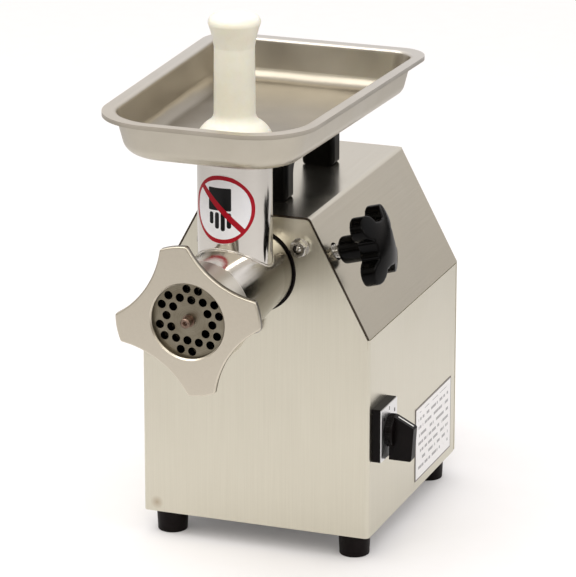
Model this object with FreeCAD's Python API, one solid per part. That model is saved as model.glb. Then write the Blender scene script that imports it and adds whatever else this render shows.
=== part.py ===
import FreeCAD, Part
import math
import os
from FreeCAD import Vector

# Electric meat grinder with a size 12 head. Millimetres, +Z up.
# Origin: on the floor, under the middle of the body. The ring nut and plate face -Y.

# ---- Body: folded stainless sheet
BODY_W = 200.0
BODY_D = 231.0
SIDE_H = 173.0
BODY_H = 271.0
TOP_W = 96.0
SHEET = 1.2
BEND = 4.0
SEAM = 0.4
REAR_LIP = 14.0
PAN_H = 18.0
PAN_GAP = 0.3

# ---- Feet
FOOT_H = 21.0
FOOT_R = 12.5
FOOT_TOP_R = 13.5
FOOT_IN_X = 18.5
FOOT_IN_Y = 19.0

# ---- Head axis and what stands on it; lengths are measured from the front panel
AXIS_UP = 222.6
COLLAR_R = 34.4
COLLAR_IN = 42.0
SLIDE_FIT = 0.05
NECK_WALL = 8.0
SEAL_R = COLLAR_R + 2.0
SEAL_GAP = 0.3
PLATE_OUT = 141.8
PLATE_R = 35.0
PLATE_T = 8.0
PLATE_SEAT_GAP = 0.1
HOLE_D = 7.0
HOLE_PITCH = 9.7
HOLE_TURN = -6.0
BORE_R = COLLAR_R - 6.4
THREAD_R = PLATE_R + 4.5
THREAD_L = 26.0
THREAD_FIT = 0.08
BARREL_FRONT_R = PLATE_R + 5.0
CONE_BACK = 20.0

# ---- Ring nut
NUT_T = 5.0
NUT_OPEN_R = PLATE_R - 4.4
LOBES = 4
LOBE_R = PLATE_R + 25.0
LOBE_HALF = 11.5
LOBE_CROWN = 1.2
WAIST_R = PLATE_R + 7.6
LOBE_TURN = 11.0
SKIRT_WALL = 2.6

# ---- Worm, knife and thrust washer
FLIGHT_GAP = 0.5
FLIGHT_PITCH = 30.0
FLIGHT_T = 6.0
CORE_R = 13.0
KNIFE_T = 9.0
KNIFE_R = PLATE_R - 6.5
KNIFE_SQ = 11.0
JOURNAL_R = 13.0
JOURNAL_FIT = 0.06
TANG_SQ = 13.0
TANG_L = 18.0
STUD_R = 4.0
STUD_COLLAR_R = 5.0
STUD_OUT = 10.0
STUD_FIT = 0.08

# ---- Feed tube, tray and pusher; heights are measured from the body's underside
TUBE_R = 30.3
TUBE_WALL = 3.0
TUBE_OUT = 42.0
TRAY_UP = 342.5
TRAY_DEPTH = 34.5
TRAY_SHEET = 1.0
TRAY_L = 305.0
TRAY_HOLE_IN = 101.0
TRAY_FRONT_W = 175.0
TRAY_BACK_W = 198.0
TRAY_FRONT_R = 52.0
TRAY_BACK_R = 26.0
RIM_W = 9.0
RIM_LIP = 3.5
RIM_BEND = 3.0
TRAY_DRAFT = 8.0
TRAY_FLOOR_R = 13.0
SPIGOT_FIT = 0.1
SPIGOT_WALL = 1.5
SPIGOT_L = 24.0
PUSHER_TOP = 446.0
PUSHER_GRIP_R = 16.3
PUSHER_KNOB_R = 21.0
PUSHER_FLANGE_R = TUBE_R + 0.7
PUSHER_PLUNGER_R = TUBE_R - 6.3
PUSHER_REACH = 68.0
STICKER_R = 28.5
STICKER_UP = 293.5
STICKER_T = 0.3

# ---- Clamp: a screw square to the head axis, out of the right shoulder
CLAMP_TILT = 15.0
CLAMP_IN = 18.0
CLAMP_SCREW_R = 6.0
CLAMP_FIT = 0.06
CLAMP_BOSS_R = 11.0
CLAMP_BOSS_IN = 8.8
HUB_R = 11.5
HUB_GAP = 5.8
HUB_L = 22.0
HEAD_T = 19.0
KNOB_LOBE_R = 10.5
KNOB_LOBE_OUT = 26.0
KNOB_SCALLOP_R = 12.0

# ---- Neck studs and nuts
NECK_STUDS = 3
NECK_STUD_PCD = 2 * (COLLAR_R + 12.3)
NECK_STUD_TURN = 30.0
NECK_STUD_R = 4.0
NUT_AF = 13.0
NUT_H = 6.5

# ---- Carry handle
HANDLE_IN = 37.4
HANDLE_L = 131.6
HANDLE_W = 29.0
HANDLE_H = 48.0
POST_T = 19.0
GRIP_T = 18.0

# ---- Rotary switch on the right side
SWITCH_IN = 27.0
SWITCH_UP = 88.3
SWITCH_DEPTH = 40.5
SWITCH_HEIGHT = 46.0
SWITCH_BASE_T = 7.5
SWITCH_PLATE_T = 1.0
SWITCH_BOX = 36.0
SWITCH_BOX_L = 42.0
SPINDLE_R = 3.0
SPINDLE_FIT = 0.05
KNOB_GAP = 0.4
DIAL_R = 13.5
DIAL_T = 6.0
BAR_T = 9.0
BAR_OUT = 16.4
BAR_UP = 12.8
BAR_DOWN = 24.5
BAR_SLOPE = 8.3

# ---- Rating plate
RATING_IN = 120.0
RATING_L = 95.5
RATING_UP = 8.0
RATING_H = 65.0
RATING_T = 0.5

# ---- Gearbox: motor pinion to layshaft gear, layshaft pinion to output gear
OUT_TEETH = 36
OUT_PINION_TEETH = 14
OUT_MODULE = 2.0
LAY_TEETH = 40
MOTOR_TEETH = 13
LAY_MODULE = 1.5
BACKLASH = 0.12
CASE_WALL = 3.5
CASE_CLEAR = 2.5
NOSE_R = 15.0
SHAFT_R = 10.0
LAY_SHAFT_R = 7.5
MOTOR_SHAFT_R = 7.0
BEARING_FIT = 0.03
FRONT_BEARING_R = COLLAR_R - 6.4
FRONT_BEARING_T = 13.0
REAR_BEARING_R = 21.0
LAY_BEARING_R = 16.0
MOTOR_BEARING_R = 15.0
SMALL_BEARING_T = 9.0
OUT_FACE = 16.0
LAY_FACE = 12.0
FACE_GAP = 4.0
COVER_T = 6.0

# ---- Motor
MOTOR_R = 60.0
MOTOR_BOSS_R = 25.0
TIE_OUT = 65.0
TIE_R = 2.5
MOTOR_L = BODY_D - 139.0
MOTOR_WALL = 2.5
BELL_T = 14.0
STATOR_L = MOTOR_L - 40.0
ROTOR_R = 34.0
AIR_GAP = 0.5
FAN_R = 46.0
FAN_T = 12.0

# ---- Rear cover, gland, capacitor
GLAND_R = 9.0
GLAND_BORE_R = 3.8
GLAND_UP = 40.0
CAPACITOR_R = 17.5
CAPACITOR_L = 65.0
CAPACITOR_X = -68.0
CAPACITOR_IN = 95.5
TERMINAL_IN = 75.5

# ---- Places worked out from the sizes above
FRONT = -BODY_D / 2
BACK = BODY_D / 2
UNDER = FOOT_H
TOP = UNDER + BODY_H
AXIS = UNDER + AXIS_UP
TUBE_Y = FRONT - TUBE_OUT
PLATE_FACE = FRONT - PLATE_OUT
NUT_BACK = PLATE_FACE - PLATE_SEAT_GAP
NUT_FRONT = NUT_BACK - NUT_T
MOUTH = PLATE_FACE + 0.8
COLLAR_END = FRONT + COLLAR_IN
TRAY_Z = UNDER + TRAY_UP
RIM_Z = TRAY_Z + TRAY_DEPTH

TRAY_FRONT_Y = TUBE_Y - TRAY_HOLE_IN
TRAY_BACK_Y = TRAY_FRONT_Y + TRAY_L
LAY_Z = AXIS - OUT_MODULE * (OUT_TEETH + OUT_PINION_TEETH) / 2
MOTOR_Z = LAY_Z - LAY_MODULE * (LAY_TEETH + MOTOR_TEETH) / 2
NOSE_Y = COLLAR_END + 1.5
BEARING_Y = NOSE_Y + 2.5
WALL_BACK = BEARING_Y + FRONT_BEARING_T + 1.0
OUT_GEAR_Y = WALL_BACK + FACE_GAP
LAY_GEAR_Y = OUT_GEAR_Y + OUT_FACE + FACE_GAP
COVER_Y = LAY_GEAR_Y + LAY_FACE + FACE_GAP
REAR_SEAT_Y = COVER_Y + 1.0
MOTOR_Y = COVER_Y + COVER_T + SMALL_BEARING_T
SHOULDER = ((BODY_W - TOP_W) / 2, BODY_H - SIDE_H)
SLOPE_LEN = math.hypot(*SHOULDER)
SHOULDER_N = Vector(SHOULDER[1] / SLOPE_LEN, 0, SHOULDER[0] / SLOPE_LEN)
TILT = math.radians(CLAMP_TILT)
CLAMP_WAY = Vector(math.cos(TILT), 0, math.sin(TILT))
CLAMP_CROSS = Vector(BODY_W / 2, 0, UNDER + SIDE_H - AXIS).dot(SHOULDER_N) / CLAMP_WAY.dot(SHOULDER_N)
CLAMP_BOSS_OUT = CLAMP_CROSS - CLAMP_BOSS_IN
HUB_START = CLAMP_CROSS + HUB_GAP
HEAD_START = HUB_START + HUB_L
X_AXIS = Vector(1, 0, 0)
Y_AXIS = Vector(0, 1, 0)
Z_AXIS = Vector(0, 0, 1)


def save(name, shape):
    """Write one sub-part to its own file."""
    shape.exportStep("parts/" + name + ".step")


def box(x0, x1, y0, y1, z0, z1):
    return Part.makeBox(x1 - x0, y1 - y0, z1 - z0, Vector(x0, y0, z0))


def rod_y(radius, y0, y1, x=0.0, z=AXIS):
    return Part.makeCylinder(radius, y1 - y0, Vector(x, y0, z), Y_AXIS)


def rod_z(radius, z0, z1, x=0.0, y=0.0):
    return Part.makeCylinder(radius, z1 - z0, Vector(x, y, z0), Z_AXIS)


def rod_x(radius, x0, x1, y=0.0, z=0.0):
    return Part.makeCylinder(radius, x1 - x0, Vector(x0, y, z), X_AXIS)


def tube_y(outer, inner, y0, y1, x=0.0, z=AXIS):
    return rod_y(outer, y0, y1, x, z).cut(rod_y(inner, y0, y1, x, z))


def together(shapes):
    """Fuse shapes that are one piece."""
    whole = shapes[0].fuse(shapes[1:]) if len(shapes) > 1 else shapes[0]
    return whole.removeSplitter()


def group(shapes):
    """Separate solids that share one node."""
    return Part.makeCompound(shapes)


def slab_xz(points, y0, y1):
    """A flat outline in the XZ plane, given a thickness along Y."""
    corners = [Vector(x, y0, z) for x, z in points]
    face = Part.Face(Part.makePolygon(corners + corners[:1]))
    return face.extrude(Vector(0, y1 - y0, 0))


def turned_y(profile, x=0.0, z=AXIS):
    """A (radius, y) outline turned about an axis along Y."""
    corners = [Vector(x + r, y, z) for r, y in profile]
    face = Part.Face(Part.makePolygon(corners + corners[:1]))
    return face.revolve(Vector(x, 0, z), Y_AXIS, 360)


def hexagon_y(across_flats, y0, y1, x, z, turn=0.0):
    radius = across_flats / math.sqrt(3)
    angles = [math.radians(turn + 60 * k) for k in range(6)]
    return slab_xz([(x + radius * math.cos(a), z + radius * math.sin(a)) for a in angles], y0, y1)


def round_corners(points, radii, closed):
    """Edges through the points, with a tangent arc of the given radius at each corner."""
    count = len(points)
    cuts = []
    for k in range(count):
        if not closed and k in (0, count - 1):
            cuts.append((points[k], points[k], None))
            continue
        before = (points[k - 1] - points[k]).normalize()
        after = (points[(k + 1) % count] - points[k]).normalize()
        half = before.getAngle(after) / 2
        reach = radii[k] / math.tan(half)
        middle = (before + after).normalize()
        nearest = points[k] + middle * (radii[k] / math.sin(half) - radii[k])
        cuts.append((points[k] + before * reach, points[k] + after * reach, nearest))
    edges = []
    for k in range(count):
        start, end, nearest = cuts[k]
        if nearest is not None:
            edges.append(Part.Arc(start, nearest, end).toShape())
        if k < count - 1 or closed:
            following = cuts[(k + 1) % count][0]
            if (following - end).Length > 1e-6:
                edges.append(Part.LineSegment(end, following).toShape())
    return edges


def offset_path(points, distance, normal):
    """The open path moved sideways by a distance, in the plane with this normal."""
    sides = [(b - a).normalize().cross(normal) * distance for a, b in zip(points, points[1:])]
    moved = [points[0] + sides[0]]
    for k in range(1, len(points) - 1):
        turn = sides[k - 1].getAngle(sides[k])
        middle = (sides[k - 1] + sides[k]).normalize()
        moved.append(points[k] + middle * (distance / math.cos(turn / 2)))
    return moved + [points[-1] + sides[-1]]


def folded(points, normal, length):
    """A sheet folded along the path, which is its outer face, and given a length."""
    inner = offset_path(points, SHEET, normal)
    outer_edges = round_corners(points, [BEND] * len(points), False)
    inner_edges = round_corners(inner[::-1], [BEND - SHEET] * len(points), False)
    far_cap = Part.LineSegment(points[-1], inner[-1]).toShape()
    near_cap = Part.LineSegment(inner[0], points[0]).toShape()
    wire = Part.Wire(outer_edges + [far_cap] + inner_edges + [near_cap])
    return Part.Face(wire).extrude(normal * length)


def body_outline(inset):
    """The front view of the body: sides, shoulders and top, moved in by the inset."""
    slant = math.atan2(SHOULDER[0], SHOULDER[1])
    half, top = BODY_W / 2 - inset, TOP - inset
    shoulder = UNDER + SIDE_H - inset * math.tan(slant / 2)
    top_half = TOP_W / 2 - inset * math.tan((math.pi / 2 - slant) / 2)
    right = [(half, UNDER), (half, shoulder), (top_half, top)]
    return [(-half, UNDER)] + right + [(-top_half, top), (-half, shoulder)]


def shoulder_hole(radius):
    """The clamp screw's way through the right shoulder."""
    return clamp_rod(radius, COLLAR_R + 20, HUB_START)


def clamp_rod(radius, start, end):
    base = Vector(0, FRONT + CLAMP_IN, AXIS) + CLAMP_WAY * start
    return Part.makeCylinder(radius, end - start, base, CLAMP_WAY)


def neck_stud_places():
    turns = [math.radians(NECK_STUD_TURN + 360 / NECK_STUDS * k) for k in range(NECK_STUDS)]
    return [(NECK_STUD_PCD / 2 * math.cos(a), AXIS + NECK_STUD_PCD / 2 * math.sin(a)) for a in turns]


def rear_screw_places():
    side = BODY_W / 2 - REAR_LIP / 2
    low, high = UNDER + 30, UNDER + SIDE_H - 18
    sides = [(s * side, z) for s in (-1, 1) for z in (low, (low + high) / 2, high)]
    return sides + [(-25, TOP - 8), (25, TOP - 8)]


def foot_places():
    x = BODY_W / 2 - FOOT_IN_X
    y = BODY_D / 2 - FOOT_IN_Y
    return {"front_left": (-x, -y), "front_right": (x, -y), "rear_left": (-x, y), "rear_right": (x, y)}


def handle_screw_places():
    return [FRONT + HANDLE_IN + POST_T / 2, FRONT + HANDLE_IN + HANDLE_L - POST_T / 2]


# ---- Body
def make_body_shell():
    """Front panel and both sides: one sheet with a rear lip on each side."""
    half, back = BODY_W / 2, BACK - SHEET
    plan = [(half - REAR_LIP, back), (half, back), (half, FRONT), (-half, FRONT), (-half, back)]
    plan.append((-half + REAR_LIP, back))
    shell = folded([Vector(x, y, UNDER) for x, y in plan], Z_AXIS, SIDE_H - 2 * SEAM)
    corners = [Vector(x, FRONT, z) for x, z in body_outline(SHEET + SEAM)]
    upper = Part.Face(Part.Wire(round_corners(corners, [BEND] * len(corners), True))).extrude(Y_AXIS * SHEET)
    upper = upper.common(box(-half, half, FRONT, BACK, UNDER + SIDE_H - 2 * BEND, TOP))
    shell = together([shell, upper])
    shell = shell.cut(rod_y(SEAL_R, FRONT - 1, FRONT + 2 * SHEET))
    for x, z in neck_stud_places():
        shell = shell.cut(rod_y(NECK_STUD_R + 0.3, FRONT - 1, FRONT + 2 * SHEET, x, z))
    for x, z in rear_screw_places()[:6]:
        shell = shell.cut(rod_y(1.6, BACK - 3 * SHEET, BACK, x, z))
    y = FRONT + SWITCH_IN
    z = UNDER + SWITCH_UP
    side = SWITCH_BOX / 2 + 0.5
    shell = shell.cut(box(half - 2 * SHEET, half + 1, y - side, y + side, z - side, z + side))
    return shell


def make_hood():
    """Top and shoulders: one sheet with a tab at the back for the rear cover."""
    half, top_half, low = BODY_W / 2, TOP_W / 2, UNDER + SIDE_H
    path = [(half, low), (top_half, TOP), (-top_half, TOP), (-half, low)]
    hood = folded([Vector(x, FRONT, z) for x, z in path], Y_AXIS, BODY_D - SHEET)
    tab = box(-35, 35, BACK - 2 * SHEET, BACK - SHEET, TOP - 15, TOP - SHEET)
    hood = together([hood, tab])
    for x, z in rear_screw_places()[6:]:
        hood = hood.cut(rod_y(1.6, BACK - 3 * SHEET, BACK, x, z))
    for y in handle_screw_places():
        hood = hood.cut(rod_z(2.8, TOP - 3, TOP + 1, 0, y))
    return hood.cut(shoulder_hole(CLAMP_SCREW_R + 1.5))


def make_rear_cover():
    """Flat rear sheet with two columns of pressed louvres for the motor's air."""
    cover = slab_xz(body_outline(0.5), BACK - SHEET, BACK)
    slot_l, slot_h, pitch = 60.0, 4.0, 13.0
    for column in (-1, 1):
        for row in range(7):
            x, z = column * 38, UNDER + 70 + pitch * row
            slot = box(x - slot_l / 2, x + slot_l / 2, BACK - 2 * SHEET, BACK + 5, z, z + slot_h)
            hood = rod_x(slot_h + SHEET, x - slot_l / 2, x + slot_l / 2, BACK - SHEET, z)
            hood = hood.cut(rod_x(slot_h, x - slot_l / 2 - 1, x + slot_l / 2 + 1, BACK - SHEET, z))
            hood = hood.common(box(x - slot_l / 2, x + slot_l / 2, BACK - SHEET, BACK + 5, z, z + 9))
            cover = cover.cut(slot).fuse(hood)
    for x, z in rear_screw_places():
        cover = cover.cut(rod_y(2.2, BACK - 2 * SHEET, BACK + 1, x, z))
    cover = cover.cut(rod_y(GLAND_R + 0.2, BACK - 3, BACK + 1, -60, UNDER + GLAND_UP))
    return cover.removeSplitter()


def pan_screw(x, y0, z, radius, length):
    """A pan-head screw whose head sits on y0 and whose shank runs towards -Y."""
    head = rod_y(radius * 1.9, y0, y0 + radius * 1.2, x, z)
    head = head.makeFillet(radius * 0.7, [e for e in head.Edges if e.BoundBox.YMin > y0 + 0.1])
    cross = [box(x - a, x + a, y0 + radius * 0.5, y0 + 2 * radius, z - b, z + b)
             for a, b in ((radius, radius * 0.18), (radius * 0.18, radius))]
    return together([head, rod_y(radius, y0 - length, y0, x, z)]).cut(cross[0]).cut(cross[1])


def make_rear_screws():
    return group([pan_screw(x, BACK, z, 1.6, 8) for x, z in rear_screw_places()])


def make_base_pan():
    """Shallow pan that closes the underside, with cooling slots."""
    half, depth = BODY_W / 2 - SHEET - PAN_GAP, BODY_D / 2 - SHEET - PAN_GAP
    pan = box(-half, half, -depth, depth - SHEET - 1, UNDER, UNDER + PAN_H)
    inside = half - SHEET
    pan = pan.cut(box(-inside, inside, -depth + SHEET, depth - 2 * SHEET - 1, UNDER + SHEET, UNDER + PAN_H))
    corner = [e for e in pan.Edges if abs(e.BoundBox.ZLength - PAN_H) < 0.01]
    pan = pan.makeFillet(BEND - SHEET, corner)
    for row in range(6):
        y = -20 + 14 * row
        pan = pan.cut(box(-45, 45, y, y + 5, UNDER - 1, UNDER + SHEET + 1))
    for x, y in foot_places().values():
        pan = pan.cut(rod_z(2.6, UNDER - 1, UNDER + SHEET + 1, x, y))
    return pan


def make_foot(x, y):
    """Tapered rubber foot with a recess for its screw's head."""
    foot = Part.makeCone(FOOT_R, FOOT_TOP_R, FOOT_H, Vector(x, y, 0), Z_AXIS)
    foot = foot.makeFillet(1.0, [e for e in foot.Edges if e.BoundBox.ZMax < 0.01])
    return foot.cut(rod_z(5.2, -1, 12, x, y)).cut(rod_z(2.5, 5, FOOT_H + 1, x, y))


def make_foot_screws():
    screws = []
    for x, y in foot_places().values():
        head = rod_z(4.6, 8, 12, x, y).cut(rod_z(2, 7, 10, x, y))
        shank = rod_z(2.45, 12, UNDER + SHEET + 8, x, y)
        nut = rod_z(4.6, UNDER + SHEET, UNDER + SHEET + 4, x, y)
        screws.append(together([head, shank, nut]))
    return group(screws)


def make_handle():
    """Moulded carry handle: two posts and a rounded grip, with finger room below."""
    y0, y1 = FRONT + HANDLE_IN, FRONT + HANDLE_IN + HANDLE_L
    top = TOP + HANDLE_H
    outline = [Vector(-HANDLE_W / 2, y, z) for y, z in ((y0, TOP), (y1, TOP), (y1, top), (y0, top))]
    outer = Part.Face(Part.Wire(round_corners(outline, [0.5, 0.5, 16, 16], True)))
    gap = [(y0 + POST_T, TOP - 5), (y1 - POST_T, TOP - 5), (y1 - POST_T, TOP + HANDLE_H - GRIP_T)]
    gap.append((y0 + POST_T, TOP + HANDLE_H - GRIP_T))
    gap_points = [Vector(-HANDLE_W / 2, y, z) for y, z in gap]
    inner = Part.Face(Part.Wire(round_corners(gap_points, [0.5, 0.5, 10, 10], True)))
    handle = outer.extrude(X_AXIS * HANDLE_W).cut(inner.extrude(X_AXIS * HANDLE_W))
    long_edges = [e for e in handle.Edges if e.BoundBox.ZMin > TOP + 0.6 and e.BoundBox.XLength < 0.01]
    handle = handle.makeFillet(4.5, long_edges)
    for y in handle_screw_places():
        handle = handle.cut(rod_z(2.5, TOP - 1, TOP + 20, 0, y))
    return handle


def make_handle_screws():
    screws = []
    for y in handle_screw_places():
        head = rod_z(5.5, TOP - SHEET - 1.8, TOP - SHEET, 0, y)
        screws.append(together([head, rod_z(2.45, TOP - SHEET, TOP + 16, 0, y)]))
    return group(screws)


def make_rating_plate():
    x, y, z = BODY_W / 2, FRONT + RATING_IN, UNDER + RATING_UP
    return box(x, x + RATING_T, y, y + RATING_L, z, z + RATING_H)


# ---- Gearbox
def capsule(z0, r0, z1, r1, y0, y1):
    """A slab whose outline is two circles above one another and their tangents."""
    lean = math.asin((r0 - r1) / (z0 - z1))
    x0, x1 = r0 * math.cos(lean), r1 * math.cos(lean)
    t0, t1 = z0 - r0 * math.sin(lean), z1 - r1 * math.sin(lean)
    upper = Part.Arc(Vector(x0, y0, t0), Vector(0, y0, z0 + r0), Vector(-x0, y0, t0)).toShape()
    lower = Part.Arc(Vector(-x1, y0, t1), Vector(0, y0, z1 - r1), Vector(x1, y0, t1)).toShape()
    left = Part.LineSegment(Vector(-x0, y0, t0), Vector(-x1, y0, t1)).toShape()
    right = Part.LineSegment(Vector(x1, y0, t1), Vector(x0, y0, t0)).toShape()
    return Part.Face(Part.Wire([upper, left, lower, right])).extrude(Y_AXIS * (y1 - y0))


def gear_room(extra, y0, y1):
    """The space round the gears, grown by a wall."""
    out_r = OUT_MODULE * (OUT_TEETH / 2 + 1) + CASE_CLEAR + extra
    lay_r = LAY_MODULE * (LAY_TEETH / 2 + 1) + CASE_CLEAR + extra
    pinion_r = LAY_MODULE * (MOTOR_TEETH / 2 + 1) + CASE_CLEAR + 6 + extra
    rooms = [capsule(AXIS, out_r, LAY_Z, lay_r, y0, y1), capsule(LAY_Z, lay_r, MOTOR_Z, pinion_r, y0, y1)]
    return together(rooms)


def gear_screw_places():
    out_r = OUT_MODULE * (OUT_TEETH / 2 + 1) + CASE_CLEAR + CASE_WALL
    lay_r = LAY_MODULE * (LAY_TEETH / 2 + 1) + CASE_CLEAR + CASE_WALL
    return [(s * (out_r + 4), AXIS + 2) for s in (-1, 1)] + [(s * (lay_r + 4), LAY_Z - 12) for s in (-1, 1)]


def make_gearbox_case():
    """One casting: flange behind the panel, neck for the head, and the gear chamber."""
    neck_r = COLLAR_R + SLIDE_FIT + NECK_WALL
    flange_y = FRONT + SHEET
    parts = [rod_y(neck_r, flange_y, WALL_BACK), gear_room(CASE_WALL, BEARING_Y, COVER_Y)]
    for x, z in neck_stud_places():
        parts.append(rod_y(10, flange_y, flange_y + 14, x, z))
    parts.append(clamp_rod(CLAMP_BOSS_R, COLLAR_R + 4, CLAMP_BOSS_OUT))
    for x, z in gear_screw_places():
        parts.append(rod_y(6, COVER_Y - 22, COVER_Y, x, z))
    case = together(parts)
    case = case.cut(gear_room(0, WALL_BACK, COVER_Y + 1))
    case = case.cut(rod_y(COLLAR_R + SLIDE_FIT, FRONT, BEARING_Y - 2))
    case = case.cut(rod_y(NOSE_R + 3, BEARING_Y - 3, BEARING_Y + 1))
    case = case.cut(rod_y(FRONT_BEARING_R, BEARING_Y, WALL_BACK + 1))
    case = case.cut(rod_y(SEAL_R, FRONT, FRONT + SHEET + 5))
    case = case.cut(rod_y(LAY_BEARING_R, WALL_BACK - SMALL_BEARING_T, WALL_BACK + 1, 0, LAY_Z))
    case = case.cut(clamp_rod(CLAMP_SCREW_R + CLAMP_FIT, COLLAR_R - 2, CLAMP_BOSS_OUT + 1))
    for x, z in neck_stud_places():
        case = case.cut(rod_y(NECK_STUD_R, flange_y - 1, flange_y + 12, x, z))
    for x, z in gear_screw_places():
        case = case.cut(rod_y(2.5, COVER_Y - 16, COVER_Y + 1, x, z))
    return case


def make_gearbox_cover():
    """Rear plate of the gearbox with bearing bosses; the motor stands on it."""
    cover = gear_room(CASE_WALL, COVER_Y, COVER_Y + COVER_T)
    for x, z in gear_screw_places():
        cover = cover.fuse(rod_y(6, COVER_Y, COVER_Y + COVER_T, x, z))
    seats = ((REAR_BEARING_R, AXIS, SHAFT_R), (LAY_BEARING_R, LAY_Z, LAY_SHAFT_R))
    for radius, z, _ in seats:
        cover = cover.fuse(rod_y(radius + 3, COVER_Y, COVER_Y + COVER_T + SMALL_BEARING_T, 0, z))
    cover = cover.fuse(rod_y(MOTOR_BOSS_R, COVER_Y, MOTOR_Y, 0, MOTOR_Z))
    for radius, z, shaft in seats:
        cover = cover.cut(rod_y(radius, REAR_SEAT_Y, REAR_SEAT_Y + SMALL_BEARING_T, 0, z))
        cover = cover.cut(rod_y(shaft + 2, COVER_Y - 1, REAR_SEAT_Y + 1, 0, z))
    cover = cover.cut(rod_y(MOTOR_SHAFT_R + 2, COVER_Y, MOTOR_Y + 1, 0, MOTOR_Z))
    for x, z in gear_screw_places():
        cover = cover.cut(rod_y(2.7, COVER_Y - 1, COVER_Y + COVER_T + 1, x, z))
    return cover.removeSplitter()


def make_gearbox_screws():
    screws = []
    for x, z in gear_screw_places():
        head_y = COVER_Y + COVER_T
        head = rod_y(4.3, head_y, head_y + 5, x, z).cut(hexagon_y(4, head_y + 2, head_y + 6, x, z))
        screws.append(together([head, rod_y(2.45, head_y - 20, head_y, x, z)]))
    return group(screws)


def make_neck_studs():
    y0, y1 = FRONT - NUT_H + 0.3, FRONT + SHEET + 11
    return group([rod_y(NECK_STUD_R - 0.02, y0, y1, x, z) for x, z in neck_stud_places()])


def make_neck_nuts():
    """Nut and washer on each stud, seen on the front panel."""
    nuts = []
    for x, z in neck_stud_places():
        washer = rod_y(8, FRONT - 1.4, FRONT, x, z)
        nut = hexagon_y(NUT_AF, FRONT - 1.4 - NUT_H, FRONT - 1.4, x, z, 20)
        end = Vector(x, FRONT - 1.4 - NUT_H, z)
        crown = Part.makeCone(NUT_AF / 2 - 0.4, NUT_AF / 2 + 4, 4.4, end, Y_AXIS)
        nut = nut.common(crown.fuse(rod_y(NUT_AF, FRONT - 3.6, FRONT, x, z)))
        nuts.append(together([washer, nut]).cut(rod_y(NECK_STUD_R, FRONT - 12, FRONT + 1, x, z)))
    return group(nuts)


def make_neck_seal():
    """Black rubber ring in the panel's opening, round the head's collar."""
    profile = [(COLLAR_R + SEAL_GAP, FRONT - 0.8), (SEAL_R - 0.4, FRONT - 0.8), (SEAL_R - 0.02, FRONT)]
    profile += [(SEAL_R - 0.02, FRONT + SHEET + 5), (COLLAR_R + SEAL_GAP, FRONT + SHEET + 5)]
    return turned_y(profile)


def bearing(bore, outer, y0, width, z):
    """Sealed ball bearing: two races with the shields set back between them."""
    web = (outer - bore) * 0.3
    y1, depth = y0 + width, 0.8
    a, b = bore + web, outer - web
    profile = [(bore, y0), (a, y0), (a, y0 + depth), (b, y0 + depth), (b, y0), (outer, y0)]
    profile += [(outer, y1), (b, y1), (b, y1 - depth), (a, y1 - depth), (a, y1), (bore, y1)]
    return turned_y(profile, 0, z)


def make_output_bearings():
    front = bearing(NOSE_R + BEARING_FIT, FRONT_BEARING_R, BEARING_Y, FRONT_BEARING_T, AXIS)
    rear = bearing(SHAFT_R + BEARING_FIT, REAR_BEARING_R, REAR_SEAT_Y, SMALL_BEARING_T, AXIS)
    return group([front, rear])


def make_layshaft_bearings():
    bore, outer = LAY_SHAFT_R + BEARING_FIT, LAY_BEARING_R
    front = bearing(bore, outer, WALL_BACK - SMALL_BEARING_T, SMALL_BEARING_T, LAY_Z)
    rear = bearing(bore, outer, REAR_SEAT_Y, SMALL_BEARING_T, LAY_Z)
    return group([front, rear])


def gear_outline(teeth, module, turn, x, z, y):
    """A spur gear's outline with involute flanks and stub teeth."""
    pitch_r = module * teeth / 2
    base_r = pitch_r * math.cos(math.radians(20))
    tip_r, root_r = pitch_r + 0.8 * module, pitch_r - 1.05 * module

    def involute(radius):
        pressure = math.acos(min(1.0, base_r / radius))
        return math.tan(pressure) - pressure

    half_at_pitch = math.pi / 2 / teeth - BACKLASH / pitch_r
    start_r = max(base_r, root_r)
    flank = [start_r + (tip_r - start_r) * k / 3 for k in range(4)]
    points = []
    for tooth in range(teeth):
        centre = math.radians(turn) + 2 * math.pi * tooth / teeth
        halves = [(r, half_at_pitch + involute(pitch_r) - involute(r)) for r in flank]
        halves = [(root_r, halves[0][1])] + halves
        side = [(r, centre - a) for r, a in halves] + [(r, centre + a) for r, a in halves[::-1]]
        points += [Vector(x + r * math.cos(a), y, z + r * math.sin(a)) for r, a in side]
    return Part.Face(Part.makePolygon(points + points[:1]))


def gear(teeth, module, turn, z, y0, width):
    return gear_outline(teeth, module, turn, 0, z, y0).extrude(Y_AXIS * width)


def make_output_shaft():
    """Shaft with a wide nose whose square socket takes the worm's tang."""
    nose = rod_y(NOSE_R, NOSE_Y, WALL_BACK + 1)
    shaft = together([nose, rod_y(SHAFT_R, WALL_BACK, REAR_SEAT_Y + SMALL_BEARING_T)])
    half = TANG_SQ / 2 + 0.25
    socket = box(-half, half, NOSE_Y - 1, NOSE_Y + TANG_L + 1, AXIS - half, AXIS + half)
    return shaft.cut(socket)


def make_output_gear():
    wheel = gear(OUT_TEETH, OUT_MODULE, -90, AXIS, OUT_GEAR_Y, OUT_FACE)
    for side in (OUT_GEAR_Y, OUT_GEAR_Y + OUT_FACE - 4):
        wheel = wheel.cut(tube_y(OUT_MODULE * OUT_TEETH / 2 - 7, SHAFT_R + 8, side, side + 4))
    return wheel.cut(rod_y(SHAFT_R, OUT_GEAR_Y - 1, OUT_GEAR_Y + OUT_FACE + 1))


def make_layshaft():
    """Shaft with its pinion cut on it."""
    shaft = rod_y(LAY_SHAFT_R, WALL_BACK - SMALL_BEARING_T + 0.5, REAR_SEAT_Y + SMALL_BEARING_T, 0, LAY_Z)
    turn = 90 + 180 / OUT_PINION_TEETH
    return together([shaft, gear(OUT_PINION_TEETH, OUT_MODULE, turn, LAY_Z, OUT_GEAR_Y, OUT_FACE)])


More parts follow.
